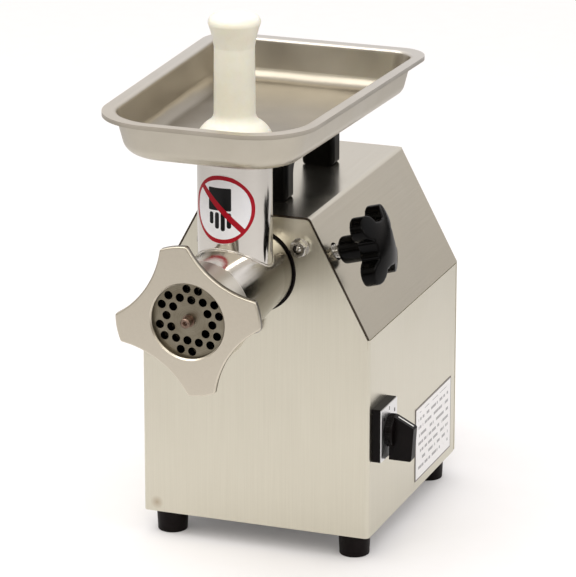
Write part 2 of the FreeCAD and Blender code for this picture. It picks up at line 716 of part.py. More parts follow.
def make_layshaft_gear():
    wheel = gear(LAY_TEETH, LAY_MODULE, -90, LAY_Z, LAY_GEAR_Y, LAY_FACE)
    return wheel.cut(rod_y(LAY_SHAFT_R, LAY_GEAR_Y - 1, LAY_GEAR_Y + LAY_FACE + 1, 0, LAY_Z))


# ---- Motor
def tie_places():
    turns = [math.radians(45 + 90 * k) for k in range(4)]
    return [(TIE_OUT * math.cos(a), MOTOR_Z + TIE_OUT * math.sin(a)) for a in turns]


def bell_blank(y0):
    """Round end casting with four ears for the tie bolts."""
    ears = [rod_y(6, y0, y0 + BELL_T, x, z) for x, z in tie_places()]
    blank = together([rod_y(MOTOR_R, y0, y0 + BELL_T, 0, MOTOR_Z)] + ears)
    for x, z in tie_places():
        blank = blank.cut(rod_y(TIE_R + 0.2, y0 - 1, y0 + BELL_T + 1, x, z))
    return blank


def make_motor_ties():
    """Long bolts that clamp the two bells on the motor's case."""
    bolts = []
    for x, z in tie_places():
        y1 = MOTOR_Y + MOTOR_L
        head = hexagon_y(8, y1, y1 + 3.5, x, z)
        nut = hexagon_y(8, MOTOR_Y - 4, MOTOR_Y, x, z)
        bolts.append(together([head, nut, rod_y(TIE_R, MOTOR_Y - 6, y1 + 1, x, z)]))
    return group(bolts)


def make_motor_front_bell():
    """Front end of the motor, bolted to the gearbox cover's boss."""
    y = MOTOR_Y
    bell = bell_blank(y)
    bell = bell.cut(rod_y(MOTOR_R - 5, y + 4, y + BELL_T + 1, 0, MOTOR_Z))
    bell = bell.fuse(rod_y(MOTOR_BEARING_R + 3, y, y + BELL_T, 0, MOTOR_Z))
    bell = bell.cut(rod_y(MOTOR_BEARING_R, y + 4, y + 4 + SMALL_BEARING_T, 0, MOTOR_Z))
    return bell.cut(rod_y(MOTOR_SHAFT_R + 1.5, y - 1, y + BELL_T + 1, 0, MOTOR_Z)).removeSplitter()


def make_motor_rear_bell():
    """Rear end of the motor with air openings round the bearing."""
    y1 = MOTOR_Y + MOTOR_L
    y0 = y1 - BELL_T
    bell = bell_blank(y0)
    bell = bell.cut(rod_y(MOTOR_R - 5, y0 - 1, y1 - 4, 0, MOTOR_Z))
    bell = bell.fuse(rod_y(MOTOR_BEARING_R + 3, y0, y1, 0, MOTOR_Z))
    bell = bell.cut(rod_y(MOTOR_BEARING_R, y1 - 4 - SMALL_BEARING_T, y1 - 4, 0, MOTOR_Z))
    bell = bell.cut(rod_y(MOTOR_SHAFT_R + 1.5, y0 - 1, y1 + 1, 0, MOTOR_Z))
    for k in range(8):
        turn = math.radians(45 * k + 22.5)
        bell = bell.cut(rod_y(6, y1 - 5, y1 + 1, 38 * math.cos(turn), MOTOR_Z + 38 * math.sin(turn)))
    return bell.removeSplitter()


def stator_span():
    middle = MOTOR_Y + MOTOR_L / 2
    return middle - STATOR_L / 2, middle + STATOR_L / 2


def make_motor_case():
    return tube_y(MOTOR_R, MOTOR_R - MOTOR_WALL, MOTOR_Y + BELL_T, MOTOR_Y + MOTOR_L - BELL_T, 0, MOTOR_Z)


def make_stator_core():
    """Laminated ring with slots for the windings."""
    y0, y1 = stator_span()
    core = tube_y(MOTOR_R - MOTOR_WALL, ROTOR_R + AIR_GAP, y0, y1, 0, MOTOR_Z)
    for k in range(24):
        turn = math.radians(15 * k)
        x, z = 43 * math.cos(turn), MOTOR_Z + 43 * math.sin(turn)
        core = core.cut(rod_y(2.8, y0 - 1, y1 + 1, x, z))
    return core


def make_stator_windings():
    y0, y1 = stator_span()
    return group([tube_y(51, ROTOR_R + 4, y, y + 9, 0, MOTOR_Z) for y in (y0 - 9, y1)])


def make_motor_bearings():
    y1 = MOTOR_Y + MOTOR_L
    bore = MOTOR_SHAFT_R + BEARING_FIT
    places = (MOTOR_Y + 4, y1 - 4 - SMALL_BEARING_T)
    return group([bearing(bore, MOTOR_BEARING_R, y, SMALL_BEARING_T, MOTOR_Z) for y in places])


def make_motor_shaft():
    """Shaft with the first pinion cut on its front end."""
    shaft = rod_y(MOTOR_SHAFT_R, LAY_GEAR_Y + LAY_FACE, MOTOR_Y + MOTOR_L + FAN_T + 3, 0, MOTOR_Z)
    turn = 90 + 180 / MOTOR_TEETH
    return together([shaft, gear(MOTOR_TEETH, LAY_MODULE, turn, MOTOR_Z, LAY_GEAR_Y, LAY_FACE)])


def make_rotor_core():
    y0, y1 = stator_span()
    core = tube_y(ROTOR_R, MOTOR_SHAFT_R, y0, y1, 0, MOTOR_Z)
    rings = [tube_y(ROTOR_R - 2, ROTOR_R - 12, y, y + 5, 0, MOTOR_Z) for y in (y0 - 5, y1)]
    return together([core] + rings)


def make_motor_fan():
    y0 = MOTOR_Y + MOTOR_L + 1.5
    hub = rod_y(12, y0, y0 + FAN_T, 0, MOTOR_Z)
    disc = rod_y(FAN_R, y0, y0 + 1.5, 0, MOTOR_Z)
    blades = []
    for k in range(8):
        blade = box(11, FAN_R - 1, y0 + 1, y0 + FAN_T, MOTOR_Z - 0.75, MOTOR_Z + 0.75)
        blades.append(blade.rotated(Vector(0, 0, MOTOR_Z), Y_AXIS, 45 * k))
    fan = together([hub, disc] + blades)
    return fan.cut(rod_y(MOTOR_SHAFT_R, y0 - 1, y0 + FAN_T + 1, 0, MOTOR_Z))


def make_motor_bracket():
    """Folded saddle that carries the motor on the base pan."""
    floor = UNDER + SHEET
    legs = []
    for y in (MOTOR_Y + BELL_T + 6, MOTOR_Y + MOTOR_L - BELL_T - 10):
        legs.append(box(-42, 42, y, y + 4, floor, MOTOR_Z - 25))
    foot = box(-42, 42, MOTOR_Y + BELL_T + 6, MOTOR_Y + MOTOR_L - BELL_T - 6, floor, floor + 3)
    saddle = together(legs + [foot])
    return saddle.cut(rod_y(MOTOR_R, MOTOR_Y, MOTOR_Y + MOTOR_L, 0, MOTOR_Z))


def make_capacitor():
    """Run capacitor lying on the base pan beside the motor bracket."""
    z = UNDER + SHEET + CAPACITOR_R + 2
    y = BACK - CAPACITOR_IN
    body = rod_y(CAPACITOR_R, y, y + CAPACITOR_L, CAPACITOR_X, z)
    body = body.makeFillet(2, body.Edges[0:1])
    tabs = []
    for x in (CAPACITOR_X - 6, CAPACITOR_X + 6):
        tabs.append(box(x - 0.4, x + 0.4, y - 8, y + 0.5, z - 3, z + 3))
    return together([body] + tabs)


def make_capacitor_clip():
    z = UNDER + SHEET + CAPACITOR_R + 2
    y = BACK - CAPACITOR_IN + 25
    band = tube_y(CAPACITOR_R + 1.2, CAPACITOR_R, y, y + 15, CAPACITOR_X, z)
    foot = box(CAPACITOR_X - 6, CAPACITOR_X + 6, y, y + 15, UNDER + SHEET, z - CAPACITOR_R - 0.2)
    return together([band, foot]).cut(rod_y(CAPACITOR_R, y - 5, y + 20, CAPACITOR_X, z))


def make_terminal_block():
    """Terminal block on the base pan, near the cord's gland."""
    x, y, z = 60, BACK - TERMINAL_IN, UNDER + SHEET
    block = box(x, x + 18, y, y + 40, z, z + 16)
    for k in range(4):
        block = block.cut(rod_z(2.5, z + 6, z + 17, x + 9, y + 5 + 10 * k))
        block = block.cut(box(x - 1, x + 19, y + 9.4 + 10 * k, y + 10.6 + 10 * k, z + 12, z + 17))
    return block


def make_cable_gland():
    """Gland in the rear cover; the cord itself is left out."""
    x, z = -60, UNDER + GLAND_UP
    profile = [(0, BACK), (12, BACK), (12, BACK + 6), (9.5, BACK + 16), (7, BACK + 19), (0, BACK + 19)]
    dome = turned_y(profile, x, z)
    nut = hexagon_y(24, BACK - SHEET - 5, BACK - SHEET, x, z)
    core = rod_y(GLAND_R, BACK - SHEET - 12, BACK + 1, x, z)
    gland = together([dome, nut, core])
    return gland.cut(rod_y(GLAND_BORE_R, BACK - 30, BACK + 30, x, z))


# ---- Grinding head
def make_barrel():
    """Barrel: collar for the neck, cone, and the threaded mouth for the ring nut."""
    thread_back = MOUTH + THREAD_L
    outer = [(0, COLLAR_END), (COLLAR_R - 1, COLLAR_END), (COLLAR_R, COLLAR_END - 1)]
    outer += [(COLLAR_R, FRONT - CONE_BACK)]
    outer += [(BARREL_FRONT_R, thread_back + 2), (BARREL_FRONT_R, thread_back), (THREAD_R, thread_back)]
    outer += [(THREAD_R, MOUTH), (0, MOUTH)]
    barrel = turned_y(outer)
    back_wall = FRONT + 8
    barrel = barrel.cut(rod_y(BORE_R, MOUTH - 1, back_wall))
    barrel = barrel.cut(rod_y(PLATE_R + PLATE_SEAT_GAP, MOUTH - 1, PLATE_FACE + PLATE_T))
    barrel = barrel.cut(rod_y(KNIFE_R + 1.5, MOUTH, PLATE_FACE + PLATE_T + KNIFE_T + 1))
    barrel = barrel.cut(rod_y(JOURNAL_R + JOURNAL_FIT, back_wall - 1, COLLAR_END + 1))
    barrel = barrel.cut(key_box(0.1))
    return barrel.cut(rod_z(TUBE_R - TUBE_WALL, AXIS, TRAY_Z, 0, TUBE_Y))


def key_box(grow):
    """Where the plate's locating key sits, at the bottom of its seat."""
    y1 = PLATE_FACE + PLATE_T
    return box(-2 - grow, 2 + grow, PLATE_FACE + 1, y1, AXIS - PLATE_R - 2, AXIS - PLATE_R + 2 + grow)


def make_feed_tube():
    """Round tube welded on the barrel; the tray rests on its upper end."""
    tube = rod_z(TUBE_R, AXIS, TRAY_Z, 0, TUBE_Y).cut(rod_z(TUBE_R - TUBE_WALL, AXIS, TRAY_Z + 1, 0, TUBE_Y))
    solid_barrel = turned_y([(0, COLLAR_END), (COLLAR_R, COLLAR_END), (COLLAR_R, FRONT - CONE_BACK),
                             (BARREL_FRONT_R, MOUTH + THREAD_L + 2), (BARREL_FRONT_R, MOUTH), (0, MOUTH)])
    return tube.cut(solid_barrel)


def plate_holes():
    """Lattice places of the plate's holes: two rings, without the outer ring's corners."""
    places = []
    for a in range(-3, 4):
        for b in range(-3, 4):
            ring = max(abs(a), abs(b), abs(a + b))
            on_corner = 0 in (a, b, a + b)
            if ring == 2 or (ring == 3 and not on_corner):
                places.append((a + b / 2, b * math.sqrt(3) / 2))
    turn = math.radians(HOLE_TURN)
    cosine, sine = HOLE_PITCH * math.cos(turn), HOLE_PITCH * math.sin(turn)
    return [(u * cosine - v * sine, u * sine + v * cosine) for u, v in places]


def make_perforated_plate():
    plate = rod_y(PLATE_R, PLATE_FACE, PLATE_FACE + PLATE_T)
    plate = plate.cut(rod_y(STUD_R + STUD_FIT, PLATE_FACE - 1, PLATE_FACE + PLATE_T + 1))
    plate = plate.cut(key_box(0.15))
    for x, z in plate_holes():
        plate = plate.cut(rod_y(HOLE_D / 2, PLATE_FACE - 1, PLATE_FACE + PLATE_T + 1, x, AXIS + z))
    return plate


def make_plate_key():
    return key_box(0)


def make_ring_nut():
    """Lobed nut: a flat star that holds the plate's rim, and a threaded skirt behind."""
    arcs = []
    for k in range(LOBES):
        turn = 360 / LOBES * k + LOBE_TURN

        def at(radius, degrees):
            angle = math.radians(turn + degrees)
            return Vector(radius * math.cos(angle), NUT_FRONT, AXIS + radius * math.sin(angle))

        edge = math.degrees(math.atan2(LOBE_HALF, LOBE_R))
        corner_r = math.hypot(LOBE_HALF, LOBE_R)
        arcs.append(Part.Arc(at(corner_r, -edge), at(LOBE_R + LOBE_CROWN, 0), at(corner_r, edge)).toShape())
        between = 180 / LOBES
        following = at(corner_r, 2 * between - edge)
        arcs.append(Part.Arc(at(corner_r, edge), at(WAIST_R, between), following).toShape())
    star = Part.Face(Part.Wire(arcs)).extrude(Y_AXIS * NUT_T)
    corners = [e for e in star.Edges if abs(e.BoundBox.YLength - NUT_T) < 0.01 and e.BoundBox.XLength < 0.01]
    star = star.makeFillet(2.5, corners)
    front_edges = [e for e in star.Edges if e.BoundBox.YMax < NUT_FRONT + 0.01]
    star = star.makeFillet(1.3, front_edges)
    skirt_r = THREAD_R + THREAD_FIT + SKIRT_WALL
    skirt = tube_y(skirt_r, THREAD_R + THREAD_FIT, NUT_BACK, MOUTH + THREAD_L - 3)
    opening = rod_y(NUT_OPEN_R, NUT_FRONT - 1, NUT_BACK + 1)
    mouth = Part.makeCone(NUT_OPEN_R + 1.2, NUT_OPEN_R, 1.2, Vector(0, NUT_FRONT, AXIS), Y_AXIS)
    nut = together([star, skirt]).cut(opening).cut(mouth)
    return nut


def make_worm():
    """Worm: tapered core with its flight, rear journal and square driving tang."""
    chamber_y = PLATE_FACE + PLATE_T + KNIFE_T + 1.5
    rear_y = FRONT + 4
    core = turned_y([(0, chamber_y), (11, chamber_y), (CORE_R, rear_y), (0, rear_y)])
    journal = rod_y(JOURNAL_R, rear_y - 1, COLLAR_END)
    half = TANG_SQ / 2
    tang = box(-half, half, COLLAR_END - 1, COLLAR_END + TANG_L, AXIS - half, AXIS + half)
    tang = tang.common(rod_y(TANG_SQ * 0.66, COLLAR_END - 1, COLLAR_END + TANG_L))
    square = KNIFE_SQ / 2
    drive = box(-square, square, PLATE_FACE + PLATE_T + 1.0, chamber_y + 1, AXIS - square, AXIS + square)
    return together([core, journal, tang, drive, flight(chamber_y + 1, rear_y - 6)])


def flight(y0, y1):
    """The worm's helical flight, swept along its helix."""
    outer = BORE_R - FLIGHT_GAP
    helix = Part.makeHelix(FLIGHT_PITCH, y1 - y0 - FLIGHT_T, outer)
    inner = 9.0
    root, tip = FLIGHT_T * 0.8, FLIGHT_T / 3
    corners = [Vector(inner, 0, -root), Vector(outer, 0, -tip), Vector(outer, 0, tip), Vector(inner, 0, root)]
    profile = Part.makePolygon(corners + corners[:1])
    blade = Part.Wire(helix.Edges).makePipeShell([profile], True, True)
    blade.rotate(Vector(0, 0, 0), X_AXIS, -90)
    blade.translate(Vector(0, y0 + FLIGHT_T / 2, AXIS))
    return blade


def make_worm_stud():
    """Pressed stud that turns in the plate's centre and stands out of it."""
    root = rod_y(STUD_R, PLATE_FACE - STUD_OUT, PLATE_FACE + PLATE_T + 1)
    root = root.makeChamfer(0.8, [e for e in root.Edges if e.BoundBox.YMax < PLATE_FACE - STUD_OUT + 0.01])
    collar = rod_y(STUD_COLLAR_R, PLATE_FACE - 2.6, PLATE_FACE - 0.4)
    dimple = Part.makeCone(2, 0.5, 2.5, Vector(0, PLATE_FACE - STUD_OUT, AXIS), Y_AXIS)
    return together([root, collar]).cut(dimple)


def make_knife():
    """Four-bladed knife on the worm's square, against the back of the plate."""
    y0 = PLATE_FACE + PLATE_T + 0.3
    y1 = y0 + KNIFE_T
    arms = [rod_y(11, y0, y1)]
    for k in range(4):
        outline = [(7, AXIS - 7), (KNIFE_R - 0.6, AXIS - 4.5), (KNIFE_R - 0.6, AXIS + 2.5), (9, AXIS + 4)]
        arms.append(slab_xz(outline, y0, y1).rotated(Vector(0, 0, AXIS), Y_AXIS, 90 * k + 20))
    half = KNIFE_SQ / 2 + 0.1
    knife = together(arms)
    return knife.cut(box(-half, half, y0 - 1, y1 + 1, AXIS - half, AXIS + half))


def make_thrust_washer():
    """Nylon washer between the worm's shoulder and the barrel's rear wall."""
    return tube_y(BORE_R - 3.5, JOURNAL_R + 0.4, FRONT + 4.6, FRONT + 7.6)


def make_sticker():
    """Round sticker wrapped on the front of the feed tube."""
    z = UNDER + STICKER_UP
    half_width = TUBE_R * math.sin(STICKER_R / TUBE_R)
    centre = Vector(0, TUBE_Y, z)
    tall, wide = centre + Z_AXIS * STICKER_R, centre + X_AXIS * half_width
    outline = Part.Wire(Part.Ellipse(tall, wide, centre).toShape())
    cutter = Part.Face(outline).extrude(Y_AXIS * -(TUBE_R + 5))
    low, high = z - STICKER_R - 5, z + STICKER_R + 5
    skin = rod_z(TUBE_R + STICKER_T, low, high, 0, TUBE_Y).cut(rod_z(TUBE_R, low, high, 0, TUBE_Y))
    return skin.common(cutter)


# ---- Tray and pusher
def tray_wire(inset, z, shrink):
    """The tray's outline, wider at the back, moved in by the inset."""
    lean = (TRAY_BACK_W - TRAY_FRONT_W) / 2 / TRAY_L
    y0, y1 = TRAY_FRONT_Y + inset, TRAY_BACK_Y - inset
    half0 = TRAY_FRONT_W / 2 + lean * inset - inset
    half1 = TRAY_BACK_W / 2 - lean * inset - inset
    points = [Vector(-half0, y0, z), Vector(half0, y0, z), Vector(half1, y1, z), Vector(-half1, y1, z)]
    front_r, back_r = TRAY_FRONT_R - shrink, TRAY_BACK_R - shrink
    return Part.Wire(round_corners(points, [front_r, front_r, back_r, back_r], True))


def tray_bowl(inset, floor_z, top_z, floor_radius):
    """The bowl's solid form: drafted walls that end in a rounded floor edge."""
    slope = TRAY_DRAFT / TRAY_DEPTH
    lower_inset = RIM_W + TRAY_DRAFT - slope * (floor_z - TRAY_Z) + inset
    upper_inset = RIM_W - slope * (top_z - RIM_Z) + inset
    lower = tray_wire(lower_inset, floor_z, lower_inset * 0.6)
    upper = tray_wire(upper_inset, top_z, upper_inset * 0.6)
    bowl = Part.makeLoft([lower, upper], True, True)
    floor_edges = [e for e in bowl.Edges if e.BoundBox.ZMax < floor_z + 0.01]
    return bowl.makeFillet(floor_radius, floor_edges)


def on_level(edge, z):
    """Whether an edge lies flat at a height."""
    return edge.BoundBox.ZLength < 0.01 and abs(edge.BoundBox.ZMin - z) < 0.01


def on_outline(edge):
    """Whether an edge of the rim is on its outer outline."""
    outline = tray_wire(0, edge.BoundBox.ZMin, 0)
    return outline.distToShape(Part.Vertex(edge.valueAt(edge.FirstParameter)))[0] < 0.5


def make_tray():
    """Pressed tray with a flat rim, a turned-down lip and a round hole over the tube."""
    bowl = tray_bowl(0, TRAY_Z, RIM_Z, TRAY_FLOOR_R)
    hollow = tray_bowl(TRAY_SHEET, TRAY_Z + TRAY_SHEET, RIM_Z, TRAY_FLOOR_R - TRAY_SHEET)
    rim = Part.Face(tray_wire(0, RIM_Z - TRAY_SHEET, 0)).extrude(Z_AXIS * TRAY_SHEET)
    lip = Part.Face(tray_wire(0, RIM_Z - RIM_LIP, 0)).extrude(Z_AXIS * RIM_LIP)
    lip = lip.cut(Part.Face(tray_wire(TRAY_SHEET, RIM_Z - RIM_LIP, TRAY_SHEET)).extrude(Z_AXIS * RIM_LIP))
    blank = together([bowl, rim])
    under_rim = [e for e in blank.Edges if on_level(e, RIM_Z - TRAY_SHEET) and not on_outline(e)]
    blank = blank.makeFillet(RIM_BEND - TRAY_SHEET, under_rim)
    tray = blank.cut(hollow)
    inner_rim = [e for e in tray.Edges if on_level(e, RIM_Z) and not on_outline(e)]
    tray = together([tray.makeFillet(RIM_BEND, inner_rim), lip])
    return tray.cut(rod_z(spigot_inner(), TRAY_Z - 1, TRAY_Z + 3, 0, TUBE_Y))


def spigot_outer():
    return TUBE_R - TUBE_WALL - SPIGOT_FIT


def spigot_inner():
    return spigot_outer() - SPIGOT_WALL


def make_tray_collar():
    """Ring welded under the tray's hole; it drops into the feed tube."""
    ring = rod_z(spigot_outer(), TRAY_Z - SPIGOT_L, TRAY_Z, 0, TUBE_Y)
    return ring.cut(rod_z(spigot_inner(), TRAY_Z - SPIGOT_L - 1, TRAY_Z + 1, 0, TUBE_Y))


def make_pusher():
    """Solid plastic pusher: knob, grip, domed flange and plunger."""
    floor = TRAY_Z + TRAY_SHEET + 0.2
    top = UNDER + PUSHER_TOP
    flange_top = floor + 17.5

    def at(radius, z):
        return Vector(radius, TUBE_Y, z)

    knob_z = top - 7
    foot = floor - PUSHER_REACH
    plunger, flange = PUSHER_PLUNGER_R, PUSHER_FLANGE_R
    edges = [
        Part.LineSegment(at(0, foot), at(plunger - 4, foot)),
        Part.Arc(at(plunger - 4, foot), at(plunger - 1.2, foot + 1.2), at(plunger, foot + 4)),
        Part.LineSegment(at(plunger, foot + 4), at(plunger, floor)),
        Part.LineSegment(at(plunger, floor), at(flange - 1, floor)),
        Part.Arc(at(flange - 1, floor), at(flange, floor + 1.4), at(flange - 0.2, floor + 3)),
        Part.Arc(at(flange - 0.2, floor + 3), at(flange - 4.2, floor + 10), at(22, floor + 14.5)),
        Part.Arc(at(22, floor + 14.5), at(18.4, floor + 17.6), at(PUSHER_GRIP_R + 0.5, flange_top + 6)),
        Part.LineSegment(at(PUSHER_GRIP_R + 0.5, flange_top + 6), at(PUSHER_GRIP_R, top - 26)),
        Part.Arc(at(PUSHER_GRIP_R, top - 26), at(PUSHER_GRIP_R + 1.8, top - 16.5), at(PUSHER_KNOB_R, knob_z)),
        Part.Arc(at(PUSHER_KNOB_R, knob_z), at(PUSHER_KNOB_R - 1.4, top - 2.2), at(PUSHER_KNOB_R - 6, top)),
        Part.LineSegment(at(PUSHER_KNOB_R - 6, top), at(0, top)),
        Part.LineSegment(at(0, top), at(0, foot)),
    ]
    face = Part.Face(Part.Wire([e.toShape() for e in edges]))
    return face.revolve(Vector(0, TUBE_Y, 0), Z_AXIS, 360)


# ---- Clamp
def make_clamp_screw():
    """Steel screw that presses on the head's collar."""
    return clamp_rod(CLAMP_SCREW_R, COLLAR_R + 0.35, HEAD_START + 6)


def make_clamp_knob():
    """Moulded star knob with a hub, four lobes and a domed outer face."""
    base = Vector(0, FRONT + CLAMP_IN, AXIS)
    hub = clamp_rod(HUB_R, HUB_START, HEAD_START + 2)
    hub = hub.makeFillet(3, [e for e in hub.Edges if near_start(e, HUB_START)])
    star = [rod_x(KNOB_LOBE_OUT - 5, 0, HEAD_T)]
    for k in range(4):
        turn = math.radians(45 + 90 * k)
        y, z = KNOB_LOBE_OUT * math.cos(turn), KNOB_LOBE_OUT * math.sin(turn)
        star.append(rod_x(KNOB_LOBE_R, 0, HEAD_T, y, z))
    star = together(star)
    reach = KNOB_LOBE_OUT + 5
    for k in range(4):
        turn = math.radians(90 * k)
        star = star.cut(rod_x(KNOB_SCALLOP_R, -1, HEAD_T + 1, reach * math.cos(turn), reach * math.sin(turn)))
    over = KNOB_LOBE_OUT + KNOB_LOBE_R + 2
    rim, middle = Vector(HEAD_T - 9, over, 0), Vector(HEAD_T - 2, over * 0.5, 0)
    back, tip = Vector(-1, 0, 0), Vector(HEAD_T, 0, 0)
    edges = [Part.LineSegment(back, back + Y_AXIS * over), Part.LineSegment(back + Y_AXIS * over, rim)]
    edges += [Part.Arc(rim, middle, tip), Part.LineSegment(tip, back)]
    dome = Part.Face(Part.Wire([e.toShape() for e in edges])).revolve(Vector(0, 0, 0), X_AXIS, 360)
    star = star.common(dome)
    star.Placement = FreeCAD.Placement(base + CLAMP_WAY * HEAD_START, FreeCAD.Rotation(X_AXIS, CLAMP_WAY))
    knob = together([hub, star])
    return knob.cut(clamp_rod(CLAMP_SCREW_R, HUB_START - 1, HEAD_START + 6))


def near_start(edge, start):
    """Whether an edge lies on the hub's inner end."""
    base = Vector(0, FRONT + CLAMP_IN, AXIS)
    return all(abs((v.Point - base).dot(CLAMP_WAY) - start) < 0.01 for v in edge.Vertexes)


# ---- Switch
def make_switch_body():
    """Black base outside the side panel and the contact box behind it."""
    x, y, z = BODY_W / 2, FRONT + SWITCH_IN, UNDER + SWITCH_UP
    deep, tall = SWITCH_DEPTH / 2, SWITCH_HEIGHT / 2
    base = box(x, x + SWITCH_BASE_T, y - deep, y + deep, z - tall, z + tall)
    base = base.makeFillet(1.5, [e for e in base.Edges if e.BoundBox.XLength > SWITCH_BASE_T - 0.1])
    side = SWITCH_BOX / 2
    inside = box(x - SWITCH_BOX_L, x + 1, y - side, y + side, z - side, z + side)
    body = together([base, inside])
    bore_start = x - 15
    return body.cut(rod_x(SPINDLE_R + SPINDLE_FIT, bore_start, x + SWITCH_BASE_T + 1, y, z))


def make_switch_plate():
    x, y, z = BODY_W / 2 + SWITCH_BASE_T, FRONT + SWITCH_IN, UNDER + SWITCH_UP
    deep, tall = SWITCH_DEPTH / 2 - 0.6, SWITCH_HEIGHT / 2 - 0.6
    plate = box(x, x + SWITCH_PLATE_T, y - deep, y + deep, z - tall, z + tall)
    return plate.cut(rod_x(SPINDLE_R + 1, x - 1, x + SWITCH_PLATE_T + 1, y, z))


def make_switch_knob():
    """Round dial with a bar grip whose upper end slopes outwards."""
    x = BODY_W / 2 + SWITCH_BASE_T + SWITCH_PLATE_T + KNOB_GAP
    y, z = FRONT + SWITCH_IN, UNDER + SWITCH_UP
    dial = rod_x(DIAL_R, x, x + DIAL_T, y, z)
    dial = dial.makeFillet(1.5, [e for e in dial.Edges if e.BoundBox.XMin > x + DIAL_T - 0.1])
    end = DIAL_T + BAR_OUT
    side = ((1, -BAR_DOWN), (end - 2, -BAR_DOWN), (end, BAR_UP - BAR_SLOPE), (DIAL_T, BAR_UP), (1, BAR_UP))
    outline = [Vector(x + a, y - BAR_T / 2, z + b) for a, b in side]
    bar = Part.Face(Part.Wire(round_corners(outline, [0.3, 2, 2, 3, 0.3], True))).extrude(Y_AXIS * BAR_T)
    knob = together([dial, bar])
    return knob.cut(rod_x(SPINDLE_R, x - 1, x + DIAL_T + 4, y, z))


def make_switch_spindle():
    x = BODY_W / 2
    end = x + SWITCH_BASE_T + SWITCH_PLATE_T + KNOB_GAP + DIAL_T + 4
    return rod_x(SPINDLE_R, x - 14, end, FRONT + SWITCH_IN, UNDER + SWITCH_UP)


os.makedirs("parts", exist_ok=True)

save("body_shell", make_body_shell())
save("hood", make_hood())
save("rear_cover", make_rear_cover())
save("rear_cover_screws", make_rear_screws())
save("base_pan", make_base_pan())
for place, (foot_x, foot_y) in foot_places().items():
    save("foot_" + place, make_foot(foot_x, foot_y))
save("foot_screws", make_foot_screws())
save("carry_handle", make_handle())
save("handle_screws", make_handle_screws())
save("rating_plate", make_rating_plate())
save("neck_seal", make_neck_seal())
save("neck_studs", make_neck_studs())
save("neck_nuts", make_neck_nuts())

save("gearbox_case", make_gearbox_case())
save("gearbox_cover", make_gearbox_cover())
save("gearbox_screws", make_gearbox_screws())
save("output_bearings", make_output_bearings())
save("output_shaft", make_output_shaft())
save("output_gear", make_output_gear())
save("layshaft_bearings", make_layshaft_bearings())
save("layshaft", make_layshaft())
save("layshaft_gear", make_layshaft_gear())

save("motor_front_bell", make_motor_front_bell())
save("motor_rear_bell", make_motor_rear_bell())
save("motor_case", make_motor_case())
save("motor_tie_bolts", make_motor_ties())
save("stator_core", make_stator_core())
save("stator_windings", make_stator_windings())
save("motor_bearings", make_motor_bearings())
save("motor_shaft", make_motor_shaft())
save("rotor_core", make_rotor_core())
save("motor_fan", make_motor_fan())
save("motor_bracket", make_motor_bracket())
save("capacitor", make_capacitor())
save("capacitor_clip", make_capacitor_clip())
save("terminal_block", make_terminal_block())
save("cable_gland", make_cable_gland())

save("barrel", make_barrel())
save("feed_tube", make_feed_tube())
save("perforated_plate", make_perforated_plate())
save("plate_key", make_plate_key())
save("ring_nut", make_ring_nut())
save("worm", make_worm())
save("worm_stud", make_worm_stud())
save("knife", make_knife())
save("thrust_washer", make_thrust_washer())
save("tube_sticker", make_sticker())

save("tray", make_tray())
save("tray_collar", make_tray_collar())
save("pusher", make_pusher())

save("clamp_screw", make_clamp_screw())
save("clamp_knob", make_clamp_knob())

save("switch_body", make_switch_body())
save("switch_plate", make_switch_plate())
save("switch_knob", make_switch_knob())
save("switch_spindle", make_switch_spindle())
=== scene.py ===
import math

import bpy
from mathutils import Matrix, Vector


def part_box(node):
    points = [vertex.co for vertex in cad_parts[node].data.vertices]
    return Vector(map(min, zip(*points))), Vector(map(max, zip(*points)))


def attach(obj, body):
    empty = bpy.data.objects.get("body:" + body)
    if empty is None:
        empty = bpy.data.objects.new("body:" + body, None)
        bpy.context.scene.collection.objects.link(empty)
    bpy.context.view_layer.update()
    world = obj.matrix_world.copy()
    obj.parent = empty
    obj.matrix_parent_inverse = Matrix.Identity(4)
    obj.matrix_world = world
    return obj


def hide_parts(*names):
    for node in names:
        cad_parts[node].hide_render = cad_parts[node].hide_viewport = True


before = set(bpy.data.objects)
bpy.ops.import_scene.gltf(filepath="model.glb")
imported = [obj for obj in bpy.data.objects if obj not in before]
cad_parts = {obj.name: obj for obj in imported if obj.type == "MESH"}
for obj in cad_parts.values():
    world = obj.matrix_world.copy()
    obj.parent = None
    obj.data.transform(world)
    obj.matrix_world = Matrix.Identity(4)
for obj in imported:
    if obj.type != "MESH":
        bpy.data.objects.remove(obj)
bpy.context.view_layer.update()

# ---------------------------------------------------------------- Base pan, feet and their screws
# The machine stands on four black rubber feet, screwed through a zinc-plated pan that closes the
# underside. The pan is punched with cooling slots and slides up inside the folded body.


def new_node(tree, kind, values, settings):
    """Adds a node; a value is a number, a colour or a socket to link from."""
    made = tree.nodes.new(kind)
    for name, setting in settings.items():
        setattr(made, name, setting)
    for name, value in (values or {}).items():
        if isinstance(value, bpy.types.NodeSocket):
            tree.links.new(value, made.inputs[name])
        else:
            made.inputs[name].default_value = value
    return made


def add(tree, kind, values=None, **settings):
    """Adds a shader node, named without its prefix."""
    return new_node(tree, "ShaderNode" + kind, values, settings)


def maths(tree, operation, *values):
    """One step of arithmetic on numbers or sockets."""
    return add(tree, "Math", dict(enumerate(values)), operation=operation).outputs[0]


def remap(tree, value, low, high, start=0.0, end=1.0, **settings):
    """Carries a value from one range over to another, and stops at its ends."""
    values = {"Value": value, "From Min": low, "From Max": high, "To Min": start, "To Max": end}
    return add(tree, "MapRange", values, **settings).outputs[0]


def mix(tree, amount, first, second):
    """Blends two colours, each a constant or a socket."""
    return add(tree, "MixRGB", {"Fac": amount, "Color1": first, "Color2": second}).outputs[0]


def noise(tree, place, scale, detail, roughness=0.5):
    """A cloudy value between nought and one."""
    values = {"Vector": place, "Scale": scale, "Detail": detail, "Roughness": roughness}
    return add(tree, "TexNoise", values).outputs["Fac"]


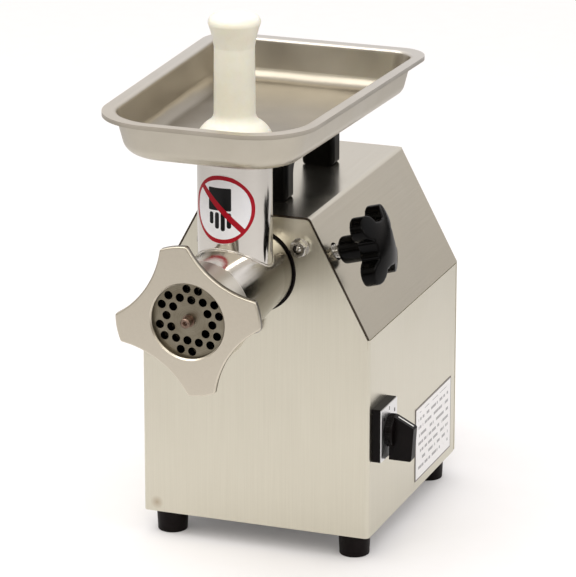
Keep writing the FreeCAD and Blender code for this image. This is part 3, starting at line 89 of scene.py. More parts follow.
def start_material(name, metallic=0.0, roughness=0.5):
    """A new material: its tree, its shader and the piece's own coordinates."""
    material = bpy.data.materials.new(name)
    material.use_nodes = True
    tree = material.node_tree
    shader = next(node for node in tree.nodes if node.type == "BSDF_PRINCIPLED")
    shader.inputs["Metallic"].default_value = metallic
    shader.inputs["Roughness"].default_value = roughness
    place = add(tree, "TexCoord").outputs["Object"]
    return material, tree, shader, place


def start_group(name, inputs, outputs):
    """A new effect group with named sockets: its tree, its input sockets and its output node."""
    group = bpy.data.node_groups.new(name, "ShaderNodeTree")
    for label, kind, value in inputs:
        socket = group.interface.new_socket(label, in_out="INPUT", socket_type="NodeSocket" + kind)
        if value is not None:
            socket.default_value = value
    for label, kind in outputs:
        group.interface.new_socket(label, in_out="OUTPUT", socket_type="NodeSocket" + kind)
    given = group.nodes.new("NodeGroupInput").outputs
    result = group.nodes.new("NodeGroupOutput")
    return group, given, result


def use_group(tree, group, values):
    """Places an effect group in a material."""
    return add(tree, "Group", values, node_tree=group).outputs


def bump(tree, shader, height, strength, distance):
    """Feeds a height into the shader's normal."""
    made = add(tree, "Bump", {"Height": height, "Strength": strength, "Distance": distance})
    tree.links.new(made.outputs["Normal"], shader.inputs["Normal"])


def feed(tree, shader, colour, roughness, height, strength, distance):
    """Links a surface's colour, roughness and fine relief to its shader."""
    tree.links.new(colour, shader.inputs["Base Color"])
    tree.links.new(roughness, shader.inputs["Roughness"])
    bump(tree, shader, height, strength, distance)


def dress(node, material):
    """Gives a CAD node its finish."""
    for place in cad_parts[node].material_slots:
        place.material = material


def make_metal_grain():
    """Directional polishing lines with the soft blotches of handled sheet."""
    group, given, result = start_group("metal_grain", [("Vector", "Vector", None),
        ("Lines", "Vector", (900, 900, 30)), ("Light", "Color", None), ("Dark", "Color", None),
        ("Smoothest", "Float", 0.25), ("Roughest", "Float", 0.4), ("Blotch Size", "Float", 25.0)],
        [("Colour", "Color"), ("Roughness", "Float"), ("Height", "Float")])
    stretched = add(group, "Mapping", {"Vector": given["Vector"], "Scale": given["Lines"]})
    lines = noise(group, stretched.outputs[0], 1.0, 4.0, 0.65)
    blotch = noise(group, given["Vector"], given["Blotch Size"], 3.0)
    tone = maths(group, "ADD", lines, blotch)
    tone = remap(group, tone, 0.5, 1.5)
    colour = mix(group, tone, given["Dark"], given["Light"])
    rough = remap(group, blotch, 0.35, 0.65, given["Smoothest"], given["Roughest"],
        interpolation_type="SMOOTHSTEP")
    group.links.new(colour, result.inputs["Colour"])
    group.links.new(rough, result.inputs["Roughness"])
    group.links.new(lines, result.inputs["Height"])
    return group


def make_moulded_skin():
    """Fine even grain of a moulding, with slight scuffs that change its gloss."""
    group, given, result = start_group("moulded_skin", [("Vector", "Vector", None),
        ("Grain", "Float", 1800.0), ("Colour", "Color", None), ("Scuffed", "Color", None),
        ("Smoothest", "Float", 0.35), ("Roughest", "Float", 0.5)],
        [("Colour", "Color"), ("Roughness", "Float"), ("Height", "Float")])
    grain = noise(group, given["Vector"], given["Grain"], 2.0)
    scuff = noise(group, given["Vector"], 55.0, 5.0, 0.7)
    amount = remap(group, scuff, 0.45, 0.75)
    colour = mix(group, amount, given["Colour"], given["Scuffed"])
    rough = remap(group, scuff, 0.3, 0.7, given["Smoothest"], given["Roughest"])
    group.links.new(colour, result.inputs["Colour"])
    group.links.new(rough, result.inputs["Roughness"])
    group.links.new(grain, result.inputs["Height"])
    return group


METAL_GRAIN = make_metal_grain()
MOULDED_SKIN = make_moulded_skin()


def grained_metal(name, light, dark, lines, smoothest, roughest, blotch=25.0, relief=0.06):
    """A polished or brushed metal whose lines run along the axis with the smallest number."""
    material, tree, shader, place = start_material(name, metallic=1.0)
    made = use_group(tree, METAL_GRAIN, {"Vector": place, "Lines": lines, "Light": (*light, 1),
        "Dark": (*dark, 1), "Smoothest": smoothest, "Roughest": roughest, "Blotch Size": blotch})
    feed(tree, shader, made["Colour"], made["Roughness"], made["Height"], relief, 0.0002)
    return material


def moulding(name, colour, scuffed, smoothest, roughest, grain=1800.0, relief=0.15, shine=0.5):
    """A moulded plastic or rubber; shine is the strength of its surface reflection."""
    material, tree, shader, place = start_material(name)
    made = use_group(tree, MOULDED_SKIN, {"Vector": place, "Grain": grain, "Colour": (*colour, 1),
        "Scuffed": (*scuffed, 1), "Smoothest": smoothest, "Roughest": roughest})
    tree.links.new(made["Colour"], shader.inputs["Base Color"])
    tree.links.new(made["Roughness"], shader.inputs["Roughness"])
    shader.inputs["Specular IOR Level"].default_value = shine
    bump(tree, shader, made["Height"], relief, 0.0002)
    return material


ZINC = grained_metal("zinc_plate", (0.62, 0.62, 0.60), (0.50, 0.50, 0.50), (300, 300, 300), 0.32, 0.48,
    60.0)
RUBBER = moulding("black_rubber", (0.004, 0.002, 0.002), (0.010, 0.007, 0.007), 0.36, 0.55, 1400.0, 0.2,
    0.12)
BRIGHT_SCREW = grained_metal("screw_steel", (0.60, 0.58, 0.54), (0.42, 0.40, 0.37), (1500, 1500, 1500),
    0.18, 0.265, 120.0)

dress("base_pan", ZINC)
for corner in ("front_left", "front_right", "rear_left", "rear_right"):
    dress("foot_" + corner, RUBBER)
dress("foot_screws", BRIGHT_SCREW)

# ---------------------------------------------------------------- Body shell
# Front panel and both sides are one sheet of brushed stainless steel, folded at the front edges.
# The brushing runs up and down, and there is a small brown heat mark low on the front.

STEEL_LIGHT = (0.72, 0.69, 0.585)
STEEL_DARK = (0.63, 0.60, 0.50)


def make_body_steel():
    material, tree, shader, place = start_material("body_steel", metallic=1.0)
    made = use_group(tree, METAL_GRAIN, {"Vector": place, "Lines": (1100, 700, 12),
        "Light": (*STEEL_LIGHT, 1), "Dark": (*STEEL_DARK, 1), "Smoothest": 0.285, "Roughest": 0.36,
        "Blotch Size": 14.0})
    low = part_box("body_shell")[0]
    spot = Vector((low.x + 0.012, low.y, low.z + 0.008))
    gap = add(tree, "VectorMath", {0: place, 1: tuple(spot)}, operation="DISTANCE")
    mark = remap(tree, gap.outputs["Value"], 0.0, 0.006, 0.55, 0.0)
    colour = mix(tree, mark, made["Colour"], (0.30, 0.19, 0.09, 1))
    feed(tree, shader, colour, made["Roughness"], made["Height"], 0.02, 0.0002)
    return material


BODY_STEEL = make_body_steel()
dress("body_shell", BODY_STEEL)

# ---------------------------------------------------------------- Gearbox
# Cast alloy gearbox with the neck that holds the head, its cover, screws, sealed bearings,
# hardened shafts and cut steel gears. The motor's two bells are the same cast.


def make_cast_alloy():
    material, tree, shader, place = start_material("cast_alloy", metallic=0.9)
    skin = noise(tree, place, 420.0, 5.0, 0.7)
    patch = noise(tree, place, 30.0, 3.0)
    colour = mix(tree, patch, (0.40, 0.41, 0.42, 1), (0.56, 0.56, 0.55, 1))
    rough = remap(tree, skin, 0.0, 1.0, 0.42, 0.68)
    feed(tree, shader, colour, rough, skin, 0.35, 0.0006)
    return material


CAST_ALLOY = make_cast_alloy()
GEAR_STEEL = grained_metal("gear_steel", (0.46, 0.44, 0.40), (0.28, 0.26, 0.22), (700, 90, 700), 0.29,
    0.42, 45.0)
BEARING_STEEL = grained_metal("bearing_steel", (0.64, 0.64, 0.64), (0.52, 0.52, 0.52), (120, 1600, 120),
    0.16, 0.26, 30.0)

for node in ("gearbox_case", "gearbox_cover", "motor_front_bell", "motor_rear_bell"):
    dress(node, CAST_ALLOY)
for node in ("output_shaft", "output_gear", "layshaft", "layshaft_gear", "motor_shaft"):
    dress(node, GEAR_STEEL)
for node in ("output_bearings", "layshaft_bearings", "motor_bearings"):
    dress(node, BEARING_STEEL)
for node in ("gearbox_screws", "motor_tie_bolts"):
    dress(node, BRIGHT_SCREW)

# ---------------------------------------------------------------- Motor, capacitor and wiring blocks
# A round induction motor with a stacked core, varnished copper windings and a plastic fan, held
# in a folded saddle. The run capacitor lies in a clip, and the mains ends at a terminal block.


def make_laminations():
    """Stacked sheets seen on edge, as fine dark lines across the shaft."""
    material, tree, shader, place = start_material("laminated_steel", metallic=0.85)
    sheets = add(tree, "TexWave", {"Vector": place, "Scale": 320.0, "Distortion": 0.3},
        wave_type="BANDS", bands_direction="Y")
    colour = mix(tree, sheets.outputs["Fac"], (0.10, 0.10, 0.11, 1), (0.34, 0.34, 0.35, 1))
    rough = remap(tree, sheets.outputs["Fac"], 0.0, 1.0, 0.5, 0.38)
    feed(tree, shader, colour, rough, sheets.outputs["Fac"], 0.3, 0.0002)
    return material


def make_winding():
    """Varnished copper wire laid round the core's ends."""
    material, tree, shader, place = start_material("copper_winding", metallic=0.8, roughness=0.35)
    wires = add(tree, "TexWave", {"Vector": place, "Scale": 260.0, "Distortion": 2.2, "Detail": 2.0},
        wave_type="RINGS", rings_direction="Y")
    colour = mix(tree, wires.outputs["Fac"], (0.26, 0.09, 0.03, 1), (0.72, 0.34, 0.14, 1))
    tree.links.new(colour, shader.inputs["Base Color"])
    bump(tree, shader, wires.outputs["Fac"], 0.6, 0.0006)
    return material


LAMINATED = make_laminations()
COPPER = make_winding()
BLACK_PLASTIC = moulding("black_plastic", (0.003, 0.002, 0.002), (0.007, 0.005, 0.005), 0.285, 0.36,
    1800.0, 0.03, 0.10)
GREY_PLASTIC = moulding("grey_plastic", (0.42, 0.42, 0.41), (0.50, 0.50, 0.49), 0.35, 0.5)
NYLON = moulding("nylon", (0.72, 0.70, 0.62), (0.62, 0.60, 0.52), 0.38, 0.52)

dress("stator_core", LAMINATED)
dress("rotor_core", LAMINATED)
dress("stator_windings", COPPER)
dress("motor_fan", BLACK_PLASTIC)
dress("capacitor", GREY_PLASTIC)
dress("terminal_block", NYLON)
for node in ("motor_case", "motor_bracket", "capacitor_clip"):
    dress(node, ZINC)

# ---------------------------------------------------------------- Rear cover and gland
# A flat sheet with two columns of pressed louvres, held by pan-head screws to the lips of the
# sides and the tab of the hood. The black gland takes the mains cord.

COVER_STEEL = grained_metal("cover_steel", STEEL_LIGHT, STEEL_DARK, (1100, 1100, 12), 0.30, 0.42, 14.0,
    0.05)
dress("rear_cover", COVER_STEEL)
dress("rear_cover_screws", BRIGHT_SCREW)
dress("cable_gland", BLACK_PLASTIC)

# ---------------------------------------------------------------- Hood and carry handle
# The hood is a second sheet folded over the top and both shoulders, brushed from front to back.
# The handle is one black moulding, screwed on from inside.


def make_hood_steel():
    """Brushed sheet whose front edge carries painted shade: a dark line where the seam against the front
    panel lies in shadow.
    """
    material, tree, shader, place = start_material("hood_steel", metallic=1.0)
    made = use_group(tree, METAL_GRAIN, {"Vector": place, "Lines": (700, 9, 700),
        "Light": (0.68, 0.64, 0.55, 1), "Dark": (0.60, 0.56, 0.47, 1), "Smoothest": 0.15,
        "Roughest": 0.25, "Blotch Size": 12.0})
    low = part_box("hood")[0]
    # Painted shade: the last millimetre or so of the sheet at its front edge is painted a near-black
    # brown, for the shadow in the seam.
    behind = maths(tree, "SUBTRACT", add(tree, "SeparateXYZ", {0: place}).outputs["Y"], low.y)
    seam = remap(tree, behind, 0.0006, 0.0013, 1.0, 0.0)
    colour = mix(tree, seam, made["Colour"], (0.07, 0.055, 0.04, 1))
    feed(tree, shader, colour, made["Roughness"], made["Height"], 0.015, 0.0002)
    return material


dress("hood", make_hood_steel())
dress("handle_screws", BRIGHT_SCREW)
HANDLE_PLASTIC = moulding("handle_plastic", (0.001, 0.001, 0.001), (0.003, 0.002, 0.002), 0.285, 0.36,
    1500.0, 0.03, 0.08)
dress("carry_handle", HANDLE_PLASTIC)

# ---------------------------------------------------------------- Neck seal, studs and nuts
# A black rubber ring fills the opening round the head's neck. Three studs of the gearbox come
# through the panel, each with a domed hex nut; their threads end in the nuts.

AXIS_HEIGHT = 0.2436
dress("neck_seal", RUBBER)
dress("neck_nuts", BRIGHT_SCREW)


def threaded_rod(name, radius, pitch, depth, start, direction, length, turns_about=24):
    """A rod with a real helical thread: its radius falls and rises along the helix."""
    direction = direction.normalized()
    side = direction.orthogonal().normalized()
    up = direction.cross(side)
    rows = int(length / pitch * 6)
    points = []
    for row in range(rows + 1):
        along = length * row / rows
        fade = min(1.0, min(along, length - along) / pitch + 0.15)
        for step in range(turns_about):
            turn = 2 * math.pi * step / turns_about
            phase = (along / pitch - step / turns_about) % 1.0
            reach = radius - depth * (1 - abs(2 * phase - 1)) * fade - depth * (1 - fade) * 0.8
            around = side * math.cos(turn) + up * math.sin(turn)
            points.append(start + direction * along + around * reach)
    faces = []
    for row in range(rows):
        for step in range(turns_about):
            following = (step + 1) % turns_about
            a, b = row * turns_about + step, row * turns_about + following
            faces.append((a, b, b + turns_about, a + turns_about))
    faces.append(tuple(range(turns_about))[::-1])
    faces.append(tuple(range(rows * turns_about, (rows + 1) * turns_about)))
    mesh = bpy.data.meshes.new(name)
    mesh.from_pydata([tuple(p) for p in points], [], faces)
    mesh.shade_smooth()
    return mesh


def place_piece(name, mesh, material, body, *replaced):
    """Puts a finished mesh in the scene as a piece that rides on a body."""
    piece = bpy.data.objects.new(name, mesh)
    bpy.context.scene.collection.objects.link(piece)
    mesh.materials.clear()
    mesh.materials.append(material)
    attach(piece, body)
    if replaced:
        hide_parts(*replaced)
    return piece


def join_meshes(name, meshes):
    """One mesh out of several."""
    points, faces = [], []
    for mesh in meshes:
        start = len(points)
        points += [tuple(v.co) for v in mesh.vertices]
        faces += [tuple(start + k for k in face.vertices) for face in mesh.polygons]
    whole = bpy.data.meshes.new(name)
    whole.from_pydata(points, [], faces)
    whole.shade_smooth()
    return whole


stud_low, stud_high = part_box("neck_studs")
STUD_CIRCLE = 0.0467
STUD_RADIUS = 0.00395
STUD_PITCH = 0.00125
STUD_DEPTH = 0.0006
STUD_TURNS = (30, 150, 270)
stud_threads = []
for degrees in STUD_TURNS:
    turn = math.radians(degrees)
    foot = Vector((STUD_CIRCLE * math.cos(turn), stud_low.y, AXIS_HEIGHT + STUD_CIRCLE * math.sin(turn)))
    stud_threads.append(threaded_rod("stud_thread", STUD_RADIUS, STUD_PITCH, STUD_DEPTH, foot,
        Vector((0, 1, 0)), stud_high.y - stud_low.y))
place_piece("neck_stud_threads", join_meshes("neck_stud_threads", stud_threads), BRIGHT_SCREW,
    "housing", "neck_studs")

# ---------------------------------------------------------------- Grinding head
# Barrel and feed tube are polished stainless steel; painted shade darkens the barrel's flanks and
# underside, so it is brightest along its upper side. The tube is welded on along a saddle-shaped seam,
# ground smooth but with its ripples left.

POLISHED = grained_metal("polished_steel", (0.76, 0.73, 0.68), (0.68, 0.65, 0.60), (60, 60, 900), 0.08,
    0.16, 22.0, 0.03)
BARREL_POLISH_PAINTED_SHADE = grained_metal("barrel_polish_painted_shade", (0.86, 0.83, 0.77), (0.70, 0.66, 0.60), (60, 4200, 60),
    0.09, 0.16, 30.0, 0.15)


def recolour(material, change):
    """Passes a finished material's colour through a change that depends on the place."""
    tree = material.node_tree
    shader = next(node for node in tree.nodes if node.type == "BSDF_PRINCIPLED")
    place = add(tree, "TexCoord").outputs["Object"]
    parts = add(tree, "SeparateXYZ", {0: place}).outputs
    changed = change(tree, parts, shader.inputs["Base Color"].links[0].from_socket)
    tree.links.new(changed, shader.inputs["Base Color"])


def paint_flank_shade(tree, parts, steel):
    """Paints shade on the flanks and underside, keeping the steel's own colour only along the upper side.
    """
    # Painted shade: below a band along the upper side, the colour falls to a dark brown.
    top = remap(tree, parts["Z"], AXIS_HEIGHT + 0.012, AXIS_HEIGHT + 0.028,
        interpolation_type="SMOOTHSTEP")
    return mix(tree, top, (0.24, 0.22, 0.18, 1), steel)


recolour(BARREL_POLISH_PAINTED_SHADE, paint_flank_shade)
dress("barrel", BARREL_POLISH_PAINTED_SHADE)
dress("feed_tube", POLISHED)
dress("plate_key", GEAR_STEEL)
dress("thrust_washer", NYLON)

tube_low, tube_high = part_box("feed_tube")
TUBE_RADIUS = 0.0303
TUBE_CENTRE = Vector((0, (tube_low.y + tube_high.y) / 2, AXIS_HEIGHT))
CONE_BACK = Vector((0.0344, -0.1355))
CONE_FRONT = Vector((0.040, -0.2285))


def barrel_radius(y):
    """The barrel's outer radius at a place along its axis."""
    share = (y - CONE_BACK.y) / (CONE_FRONT.y - CONE_BACK.y)
    return CONE_BACK.x + (CONE_FRONT.x - CONE_BACK.x) * min(max(share, 0), 1)


def seam_path(count):
    """Points round the seam between the tube and the barrel."""
    path = []
    for k in range(count):
        turn = 2 * math.pi * k / count
        x = TUBE_RADIUS * math.cos(turn)
        y = TUBE_CENTRE.y + TUBE_RADIUS * math.sin(turn)
        reach = barrel_radius(y)
        path.append((x * 1.004, y, AXIS_HEIGHT + math.sqrt(max(reach ** 2 - x ** 2, 0)) + 0.0002))
    return path


def link_nodes(tree, kind, values=None, **settings):
    """Adds a geometry node."""
    return new_node(tree, kind, values, settings)


def grown_mesh(name, tree, values, start_mesh):
    """Runs a geometry node tree on a start mesh and returns the plain mesh it makes."""
    carrier = bpy.data.objects.new(name + "_carrier", start_mesh)
    bpy.context.scene.collection.objects.link(carrier)
    modifier = carrier.modifiers.new("make", "NODES")
    modifier.node_group = tree
    for item in tree.interface.items_tree:
        if item.in_out == "INPUT" and item.name in values:
            modifier[item.identifier] = values[item.name]
    evaluated = carrier.evaluated_get(bpy.context.evaluated_depsgraph_get())
    mesh = bpy.data.meshes.new_from_object(evaluated)
    carrier.modifiers.remove(modifier)
    bpy.data.objects.remove(carrier)
    mesh.name = name
    return mesh


def make_bead_tree():
    """A bead along a closed line, with a row of overlapping ripples on it."""
    tree = bpy.data.node_groups.new("weld_bead", "GeometryNodeTree")
    tree.interface.new_socket("Geometry", in_out="INPUT", socket_type="NodeSocketGeometry")
    for label, kind in (("Bead Radius", "Float"), ("Ripples", "Int"), ("Finish", "Material")):
        tree.interface.new_socket(label, in_out="INPUT", socket_type="NodeSocket" + kind)
    tree.interface.new_socket("Geometry", in_out="OUTPUT", socket_type="NodeSocketGeometry")
    given = tree.nodes.new("NodeGroupInput").outputs
    line = link_nodes(tree, "GeometryNodeMeshToCurve", {"Mesh": given["Geometry"]})
    section = link_nodes(tree, "GeometryNodeCurvePrimitiveCircle",
        {"Resolution": 10, "Radius": given["Bead Radius"]})
    bead = link_nodes(tree, "GeometryNodeCurveToMesh", {"Curve": line.outputs[0],
        "Profile Curve": section.outputs[0]})
    spaced = link_nodes(tree, "GeometryNodeResampleCurve", {"Curve": line.outputs[0],
        "Count": given["Ripples"]})
    ripple = link_nodes(tree, "GeometryNodeMeshUVSphere", {"Segments": 8, "Rings": 5,
        "Radius": given["Bead Radius"]})
    squeezed = link_nodes(tree, "GeometryNodeTransform", {"Geometry": ripple.outputs[0],
        "Scale": (1.12, 1.12, 0.75)})
    along = link_nodes(tree, "GeometryNodeInputTangent")
    facing = link_nodes(tree, "FunctionNodeAlignRotationToVector", {"Vector": along.outputs[0]}, axis="Z")
    row = link_nodes(tree, "GeometryNodeInstanceOnPoints", {"Points": spaced.outputs[0],
        "Instance": squeezed.outputs[0], "Rotation": facing.outputs[0]})
    both = link_nodes(tree, "GeometryNodeJoinGeometry")
    tree.links.new(bead.outputs[0], both.inputs[0])
    tree.links.new(row.outputs[0], both.inputs[0])
    solid = link_nodes(tree, "GeometryNodeRealizeInstances", {"Geometry": both.outputs[0]})
    finished = link_nodes(tree, "GeometryNodeSetMaterial", {"Geometry": solid.outputs[0],
        "Material": given["Finish"]})
    tree.links.new(finished.outputs[0], tree.nodes.new("NodeGroupOutput").inputs[0])
    return tree


WELD = grained_metal("weld_steel", (0.78, 0.75, 0.70), (0.58, 0.54, 0.48), (500, 500, 500), 0.16, 0.26,
    160.0, 0.1)
seam = bpy.data.meshes.new("tube_seam")
SEAM_POINTS = 96
BEAD_RADIUS = 0.0011
BEAD_RIPPLES = 110
seam.from_pydata(seam_path(SEAM_POINTS), [(k, (k + 1) % SEAM_POINTS) for k in range(SEAM_POINTS)], [])
weld_mesh = grown_mesh("tube_weld", make_bead_tree(), {"Bead Radius": BEAD_RADIUS,
    "Ripples": BEAD_RIPPLES, "Finish": WELD}, seam)
weld_mesh.shade_smooth()
place_piece("tube_weld", weld_mesh, WELD, "head")

# ---------------------------------------------------------------- Round sticker on the feed tube
# A printed vinyl disc wrapped on the front of the tube: white, with a red ring, a red bar and a
# plain dark sign of a block and four bars.


def make_printed_block():
    """One when inside a rounded block on a flat print, nought outside."""
    group, given, result = start_group("printed_block", [("Across", "Float", 0.0), ("Up", "Float", 0.0),
        ("Middle Across", "Float", 0.0), ("Middle Up", "Float", 0.0), ("Half Width", "Float", 0.01),
        ("Half Height", "Float", 0.01), ("Rounding", "Float", 0.001)], [("Mask", "Float")])
    reach = []
    for value, middle, half in (("Across", "Middle Across", "Half Width"),
            ("Up", "Middle Up", "Half Height")):
        offset = maths(group, "SUBTRACT", given[value], given[middle])
        size = maths(group, "ABSOLUTE", offset)
        inner = maths(group, "SUBTRACT", given[half], given["Rounding"])
        over = maths(group, "SUBTRACT", size, inner)
        reach.append(maths(group, "MAXIMUM", over, 0.0))
    corner = add(group, "CombineXYZ", {"X": reach[0], "Y": reach[1]})
    away = add(group, "VectorMath", {0: corner.outputs[0]}, operation="LENGTH")
    inside = maths(group, "LESS_THAN", away.outputs["Value"], given["Rounding"])
    group.links.new(inside, result.inputs["Mask"])
    return group


PRINTED_BLOCK = make_printed_block()
STICKER_HEIGHT = 0.3145
RED_RING_OUTER, RED_RING_INNER = 0.0281, 0.0245
RED_BAR_HALF, RED_BAR_REACH = 0.0032, 0.0262


def make_sticker_vinyl():
    material, tree, shader, place = start_material("sticker_vinyl", roughness=0.32)
    parts = add(tree, "SeparateXYZ", {0: place})
    depth = maths(tree, "SUBTRACT", TUBE_CENTRE.y, parts.outputs["Y"])
    turn = maths(tree, "ARCTAN2", parts.outputs["X"], depth)
    across = maths(tree, "MULTIPLY", turn, TUBE_RADIUS)
    up = maths(tree, "SUBTRACT", parts.outputs["Z"], STICKER_HEIGHT)
    flat = add(tree, "CombineXYZ", {"X": across, "Y": up})
    away = add(tree, "VectorMath", {0: flat.outputs[0]}, operation="LENGTH").outputs["Value"]

    def either(a, b):
        return maths(tree, "MAXIMUM", a, b)

    def both(a, b):
        return maths(tree, "MULTIPLY", a, b)

    def below(value, limit):
        return maths(tree, "LESS_THAN", value, limit)

    def block(middle_across, middle_up, half_width, half_height, rounding):
        return use_group(tree, PRINTED_BLOCK, {"Across": across, "Up": up,
            "Middle Across": middle_across, "Middle Up": middle_up, "Half Width": half_width,
            "Half Height": half_height, "Rounding": rounding})["Mask"]

    sign = block(-0.0016, 0.0085, 0.0098, 0.0094, 0.0012)
    for place_across, length in ((-0.0087, 0.0050), (-0.0037, 0.0068), (0.0013, 0.0076),
            (0.0063, 0.0064)):
        sign = either(sign, block(place_across, -0.0024 - length, 0.0018, length, 0.0017))
    ring = both(below(away, RED_RING_OUTER), maths(tree, "GREATER_THAN", away, RED_RING_INNER))
    slant = maths(tree, "ADD", across, up)
    slant = maths(tree, "ABSOLUTE", slant)
    bar = both(below(slant, RED_BAR_HALF), below(away, RED_BAR_REACH))
    paper = noise(tree, place, 260.0, 3.0)
    white = mix(tree, paper, (0.90, 0.91, 0.97, 1), (0.96, 0.97, 1.0, 1))
    inked = mix(tree, sign, white, (0.008, 0.008, 0.009, 1))
    red = mix(tree, either(ring, bar), inked, (0.41, 0.004, 0.016, 1))
    tree.links.new(red, shader.inputs["Base Color"])
    shader.inputs["Specular IOR Level"].default_value = 0.2
    bump(tree, shader, paper, 0.04, 0.0002)
    return material


dress("tube_sticker", make_sticker_vinyl())

# ---------------------------------------------------------------- Worm, knife and plate
# The worm is cast and polished, and carries the barrel's painted shade; the knife is dark hardened steel,
# painted near black so that it also stands for the shade behind the plate's holes. The ground plate shows
# the rings of its grinding round the centre, where the worm's stud comes through, and painted shade in
# its holes.


def make_ground_plate():
    material, tree, shader, place = start_material("ground_plate", metallic=1.0)
    centred = add(tree, "VectorMath", {0: place, 1: (0, 0, AXIS_HEIGHT)}, operation="SUBTRACT")
    flat = add(tree, "VectorMath", {0: centred.outputs[0], 1: (1, 0, 1)}, operation="MULTIPLY")
    away = add(tree, "VectorMath", {0: flat.outputs[0]}, operation="LENGTH").outputs["Value"]
    rings = add(tree, "TexNoise", {"W": maths(tree, "MULTIPLY", away, 2600.0), "Scale": 1.0,
        "Detail": 3.0}, noise_dimensions="1D")
    stain = noise(tree, place, 70.0, 4.0)
    tone = maths(tree, "ADD", rings.outputs["Fac"], stain)
    tone = remap(tree, tone, 0.7, 1.3)
    colour = mix(tree, tone, (0.17, 0.145, 0.10, 1), (0.33, 0.30, 0.235, 1))
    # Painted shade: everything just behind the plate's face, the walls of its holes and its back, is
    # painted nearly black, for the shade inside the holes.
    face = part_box("perforated_plate")[0].y
    depth = add(tree, "SeparateXYZ", {0: place}).outputs["Y"]
    inner = remap(tree, depth, face + 0.0002, face + 0.0008)
    colour = mix(tree, inner, colour, (0.004, 0.004, 0.003, 1))
    rough = remap(tree, stain, 0.0, 1.0, 0.29, 0.46)
    feed(tree, shader, colour, rough, rings.outputs["Fac"], 0.12, 0.0002)
    return material


DARK_STEEL = grained_metal("dark_steel", (0.016, 0.015, 0.014), (0.008, 0.007, 0.007), (400, 400, 400),
    0.35, 0.55, 60.0)
STUD_STEEL = grained_metal("stud_steel", (0.33, 0.24, 0.19), (0.13, 0.08, 0.06), (900, 900, 900), 0.29,
    0.4, 150.0)
dress("worm", BARREL_POLISH_PAINTED_SHADE)
# Painted shade in part: the knife's near-black colour is its dark hardened finish and also stands for the
# shade behind the plate's holes.
dress("knife", DARK_STEEL)
dress("perforated_plate", make_ground_plate())
dress("worm_stud", STUD_STEEL)

# ---------------------------------------------------------------- Ring nut
# A four-lobed casting of stainless steel, satin on its face. Painted shade darkens the rounded edges of
# the lobes, and the skirt behind them is given a lighter colour.

NUT_STEEL = grained_metal("nut_steel", (0.68, 0.63, 0.53), (0.62, 0.57, 0.475), (420, 420, 420), 0.285,
    0.34, 20.0, 0.004)


def shade_edges(tree, parts, steel):
    """Paints shade on the lobes' rounded edges and gives the skirt behind them a lighter colour."""
    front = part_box("ring_nut")[0].y
    # Painted shade: the lobes' side walls, from just behind the face, are painted dark brown; further
    # back the skirt is painted a lighter steel.
    side = remap(tree, parts["Y"], front + 0.0014, front + 0.0026)
    hub = remap(tree, parts["Y"], front + 0.0050, front + 0.0056)
    back = mix(tree, hub, (0.20, 0.18, 0.15, 1), (0.70, 0.66, 0.58, 1))
    return mix(tree, side, steel, back)


recolour(NUT_STEEL, shade_edges)
dress("ring_nut", NUT_STEEL)

# ---------------------------------------------------------------- Tray
# Drawn from one sheet of stainless steel: a flat rim with a turned-down lip, drafted walls and a
# soft floor edge. The rim carries a painted highlight and the floor and left wall inside a painted shade;
# its hole sits on the feed tube.


def make_tray_steel():
    """Sheet with a painted highlight on its rim and painted shade on its floor and left wall inside; the
    drawn walls and floor keep soft waves.
    """
    material, tree, shader, place = start_material("tray_steel", metallic=1.0)
    made = use_group(tree, METAL_GRAIN, {"Vector": place, "Lines": (60, 60, 60),
        "Light": (0.55, 0.515, 0.44, 1), "Dark": (0.49, 0.455, 0.38, 1), "Smoothest": 0.285,
        "Roughest": 0.34, "Blotch Size": 16.0})
    low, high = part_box("tray")
    parts = add(tree, "SeparateXYZ", {0: place})
    # Painted highlight: the top few millimetres, the rim, are painted a lighter steel, lightest towards
    # the back.
    edge = remap(tree, parts.outputs["Z"], high.z - 0.004, high.z - 0.001)
    back = remap(tree, parts.outputs["Y"], low.y, high.y)
    rim = mix(tree, back, (0.63, 0.58, 0.50, 1), (0.66, 0.63, 0.58, 1))
    # Painted shade: the inside faces that turn upward, the floor and the left wall, are painted a darker
    # steel.
    facing = add(tree, "SeparateXYZ", {0: add(tree, "TexCoord").outputs["Normal"]})
    inside = remap(tree, facing.outputs["Z"], 0.02, 0.10)
    turned = maths(tree, "ADD", facing.outputs["X"], facing.outputs["Z"])
    turned = remap(tree, turned, 0.25, 0.9)
    painted_inside_shade = maths(tree, "MULTIPLY", inside, turned)
    inside_painted_shade = mix(tree, painted_inside_shade, made["Colour"], (0.33, 0.295, 0.24, 1))
    colour = mix(tree, edge, inside_painted_shade, rim)
    tree.links.new(colour, shader.inputs["Base Color"])
    tree.links.new(made["Roughness"], shader.inputs["Roughness"])
    wave = noise(tree, place, 17.0, 1.0, 0.4)
    bump(tree, shader, wave, 0.5, 0.006)
    return material


dress("tray", make_tray_steel())
dress("tray_collar", POLISHED)

# ---------------------------------------------------------------- Pusher
# Turned and pressed from milky polyethylene: light goes a little way in, and the surface has a
# soft sheen with fine handling marks.


def make_milky_plastic():
    material, tree, shader, place = start_material("milky_plastic")
    made = use_group(tree, MOULDED_SKIN, {"Vector": place, "Grain": 900.0,
        "Colour": (0.93, 0.91, 0.80, 1), "Scuffed": (0.89, 0.86, 0.73, 1), "Smoothest": 0.30,
        "Roughest": 0.44})
    tree.links.new(made["Colour"], shader.inputs["Base Color"])
    tree.links.new(made["Roughness"], shader.inputs["Roughness"])
    shader.inputs["Subsurface Weight"].default_value = 0.5
    shader.inputs["Subsurface Radius"].default_value = (1.0, 0.85, 0.6)
    shader.inputs["Subsurface Scale"].default_value = 0.008
    bump(tree, shader, made["Height"], 0.05, 0.0003)
    return material


dress("pusher", make_milky_plastic())

# ---------------------------------------------------------------- Clamp
# A zinc-plated screw through the right shoulder presses on the head's neck. Its black star knob
# is a glossy moulding.

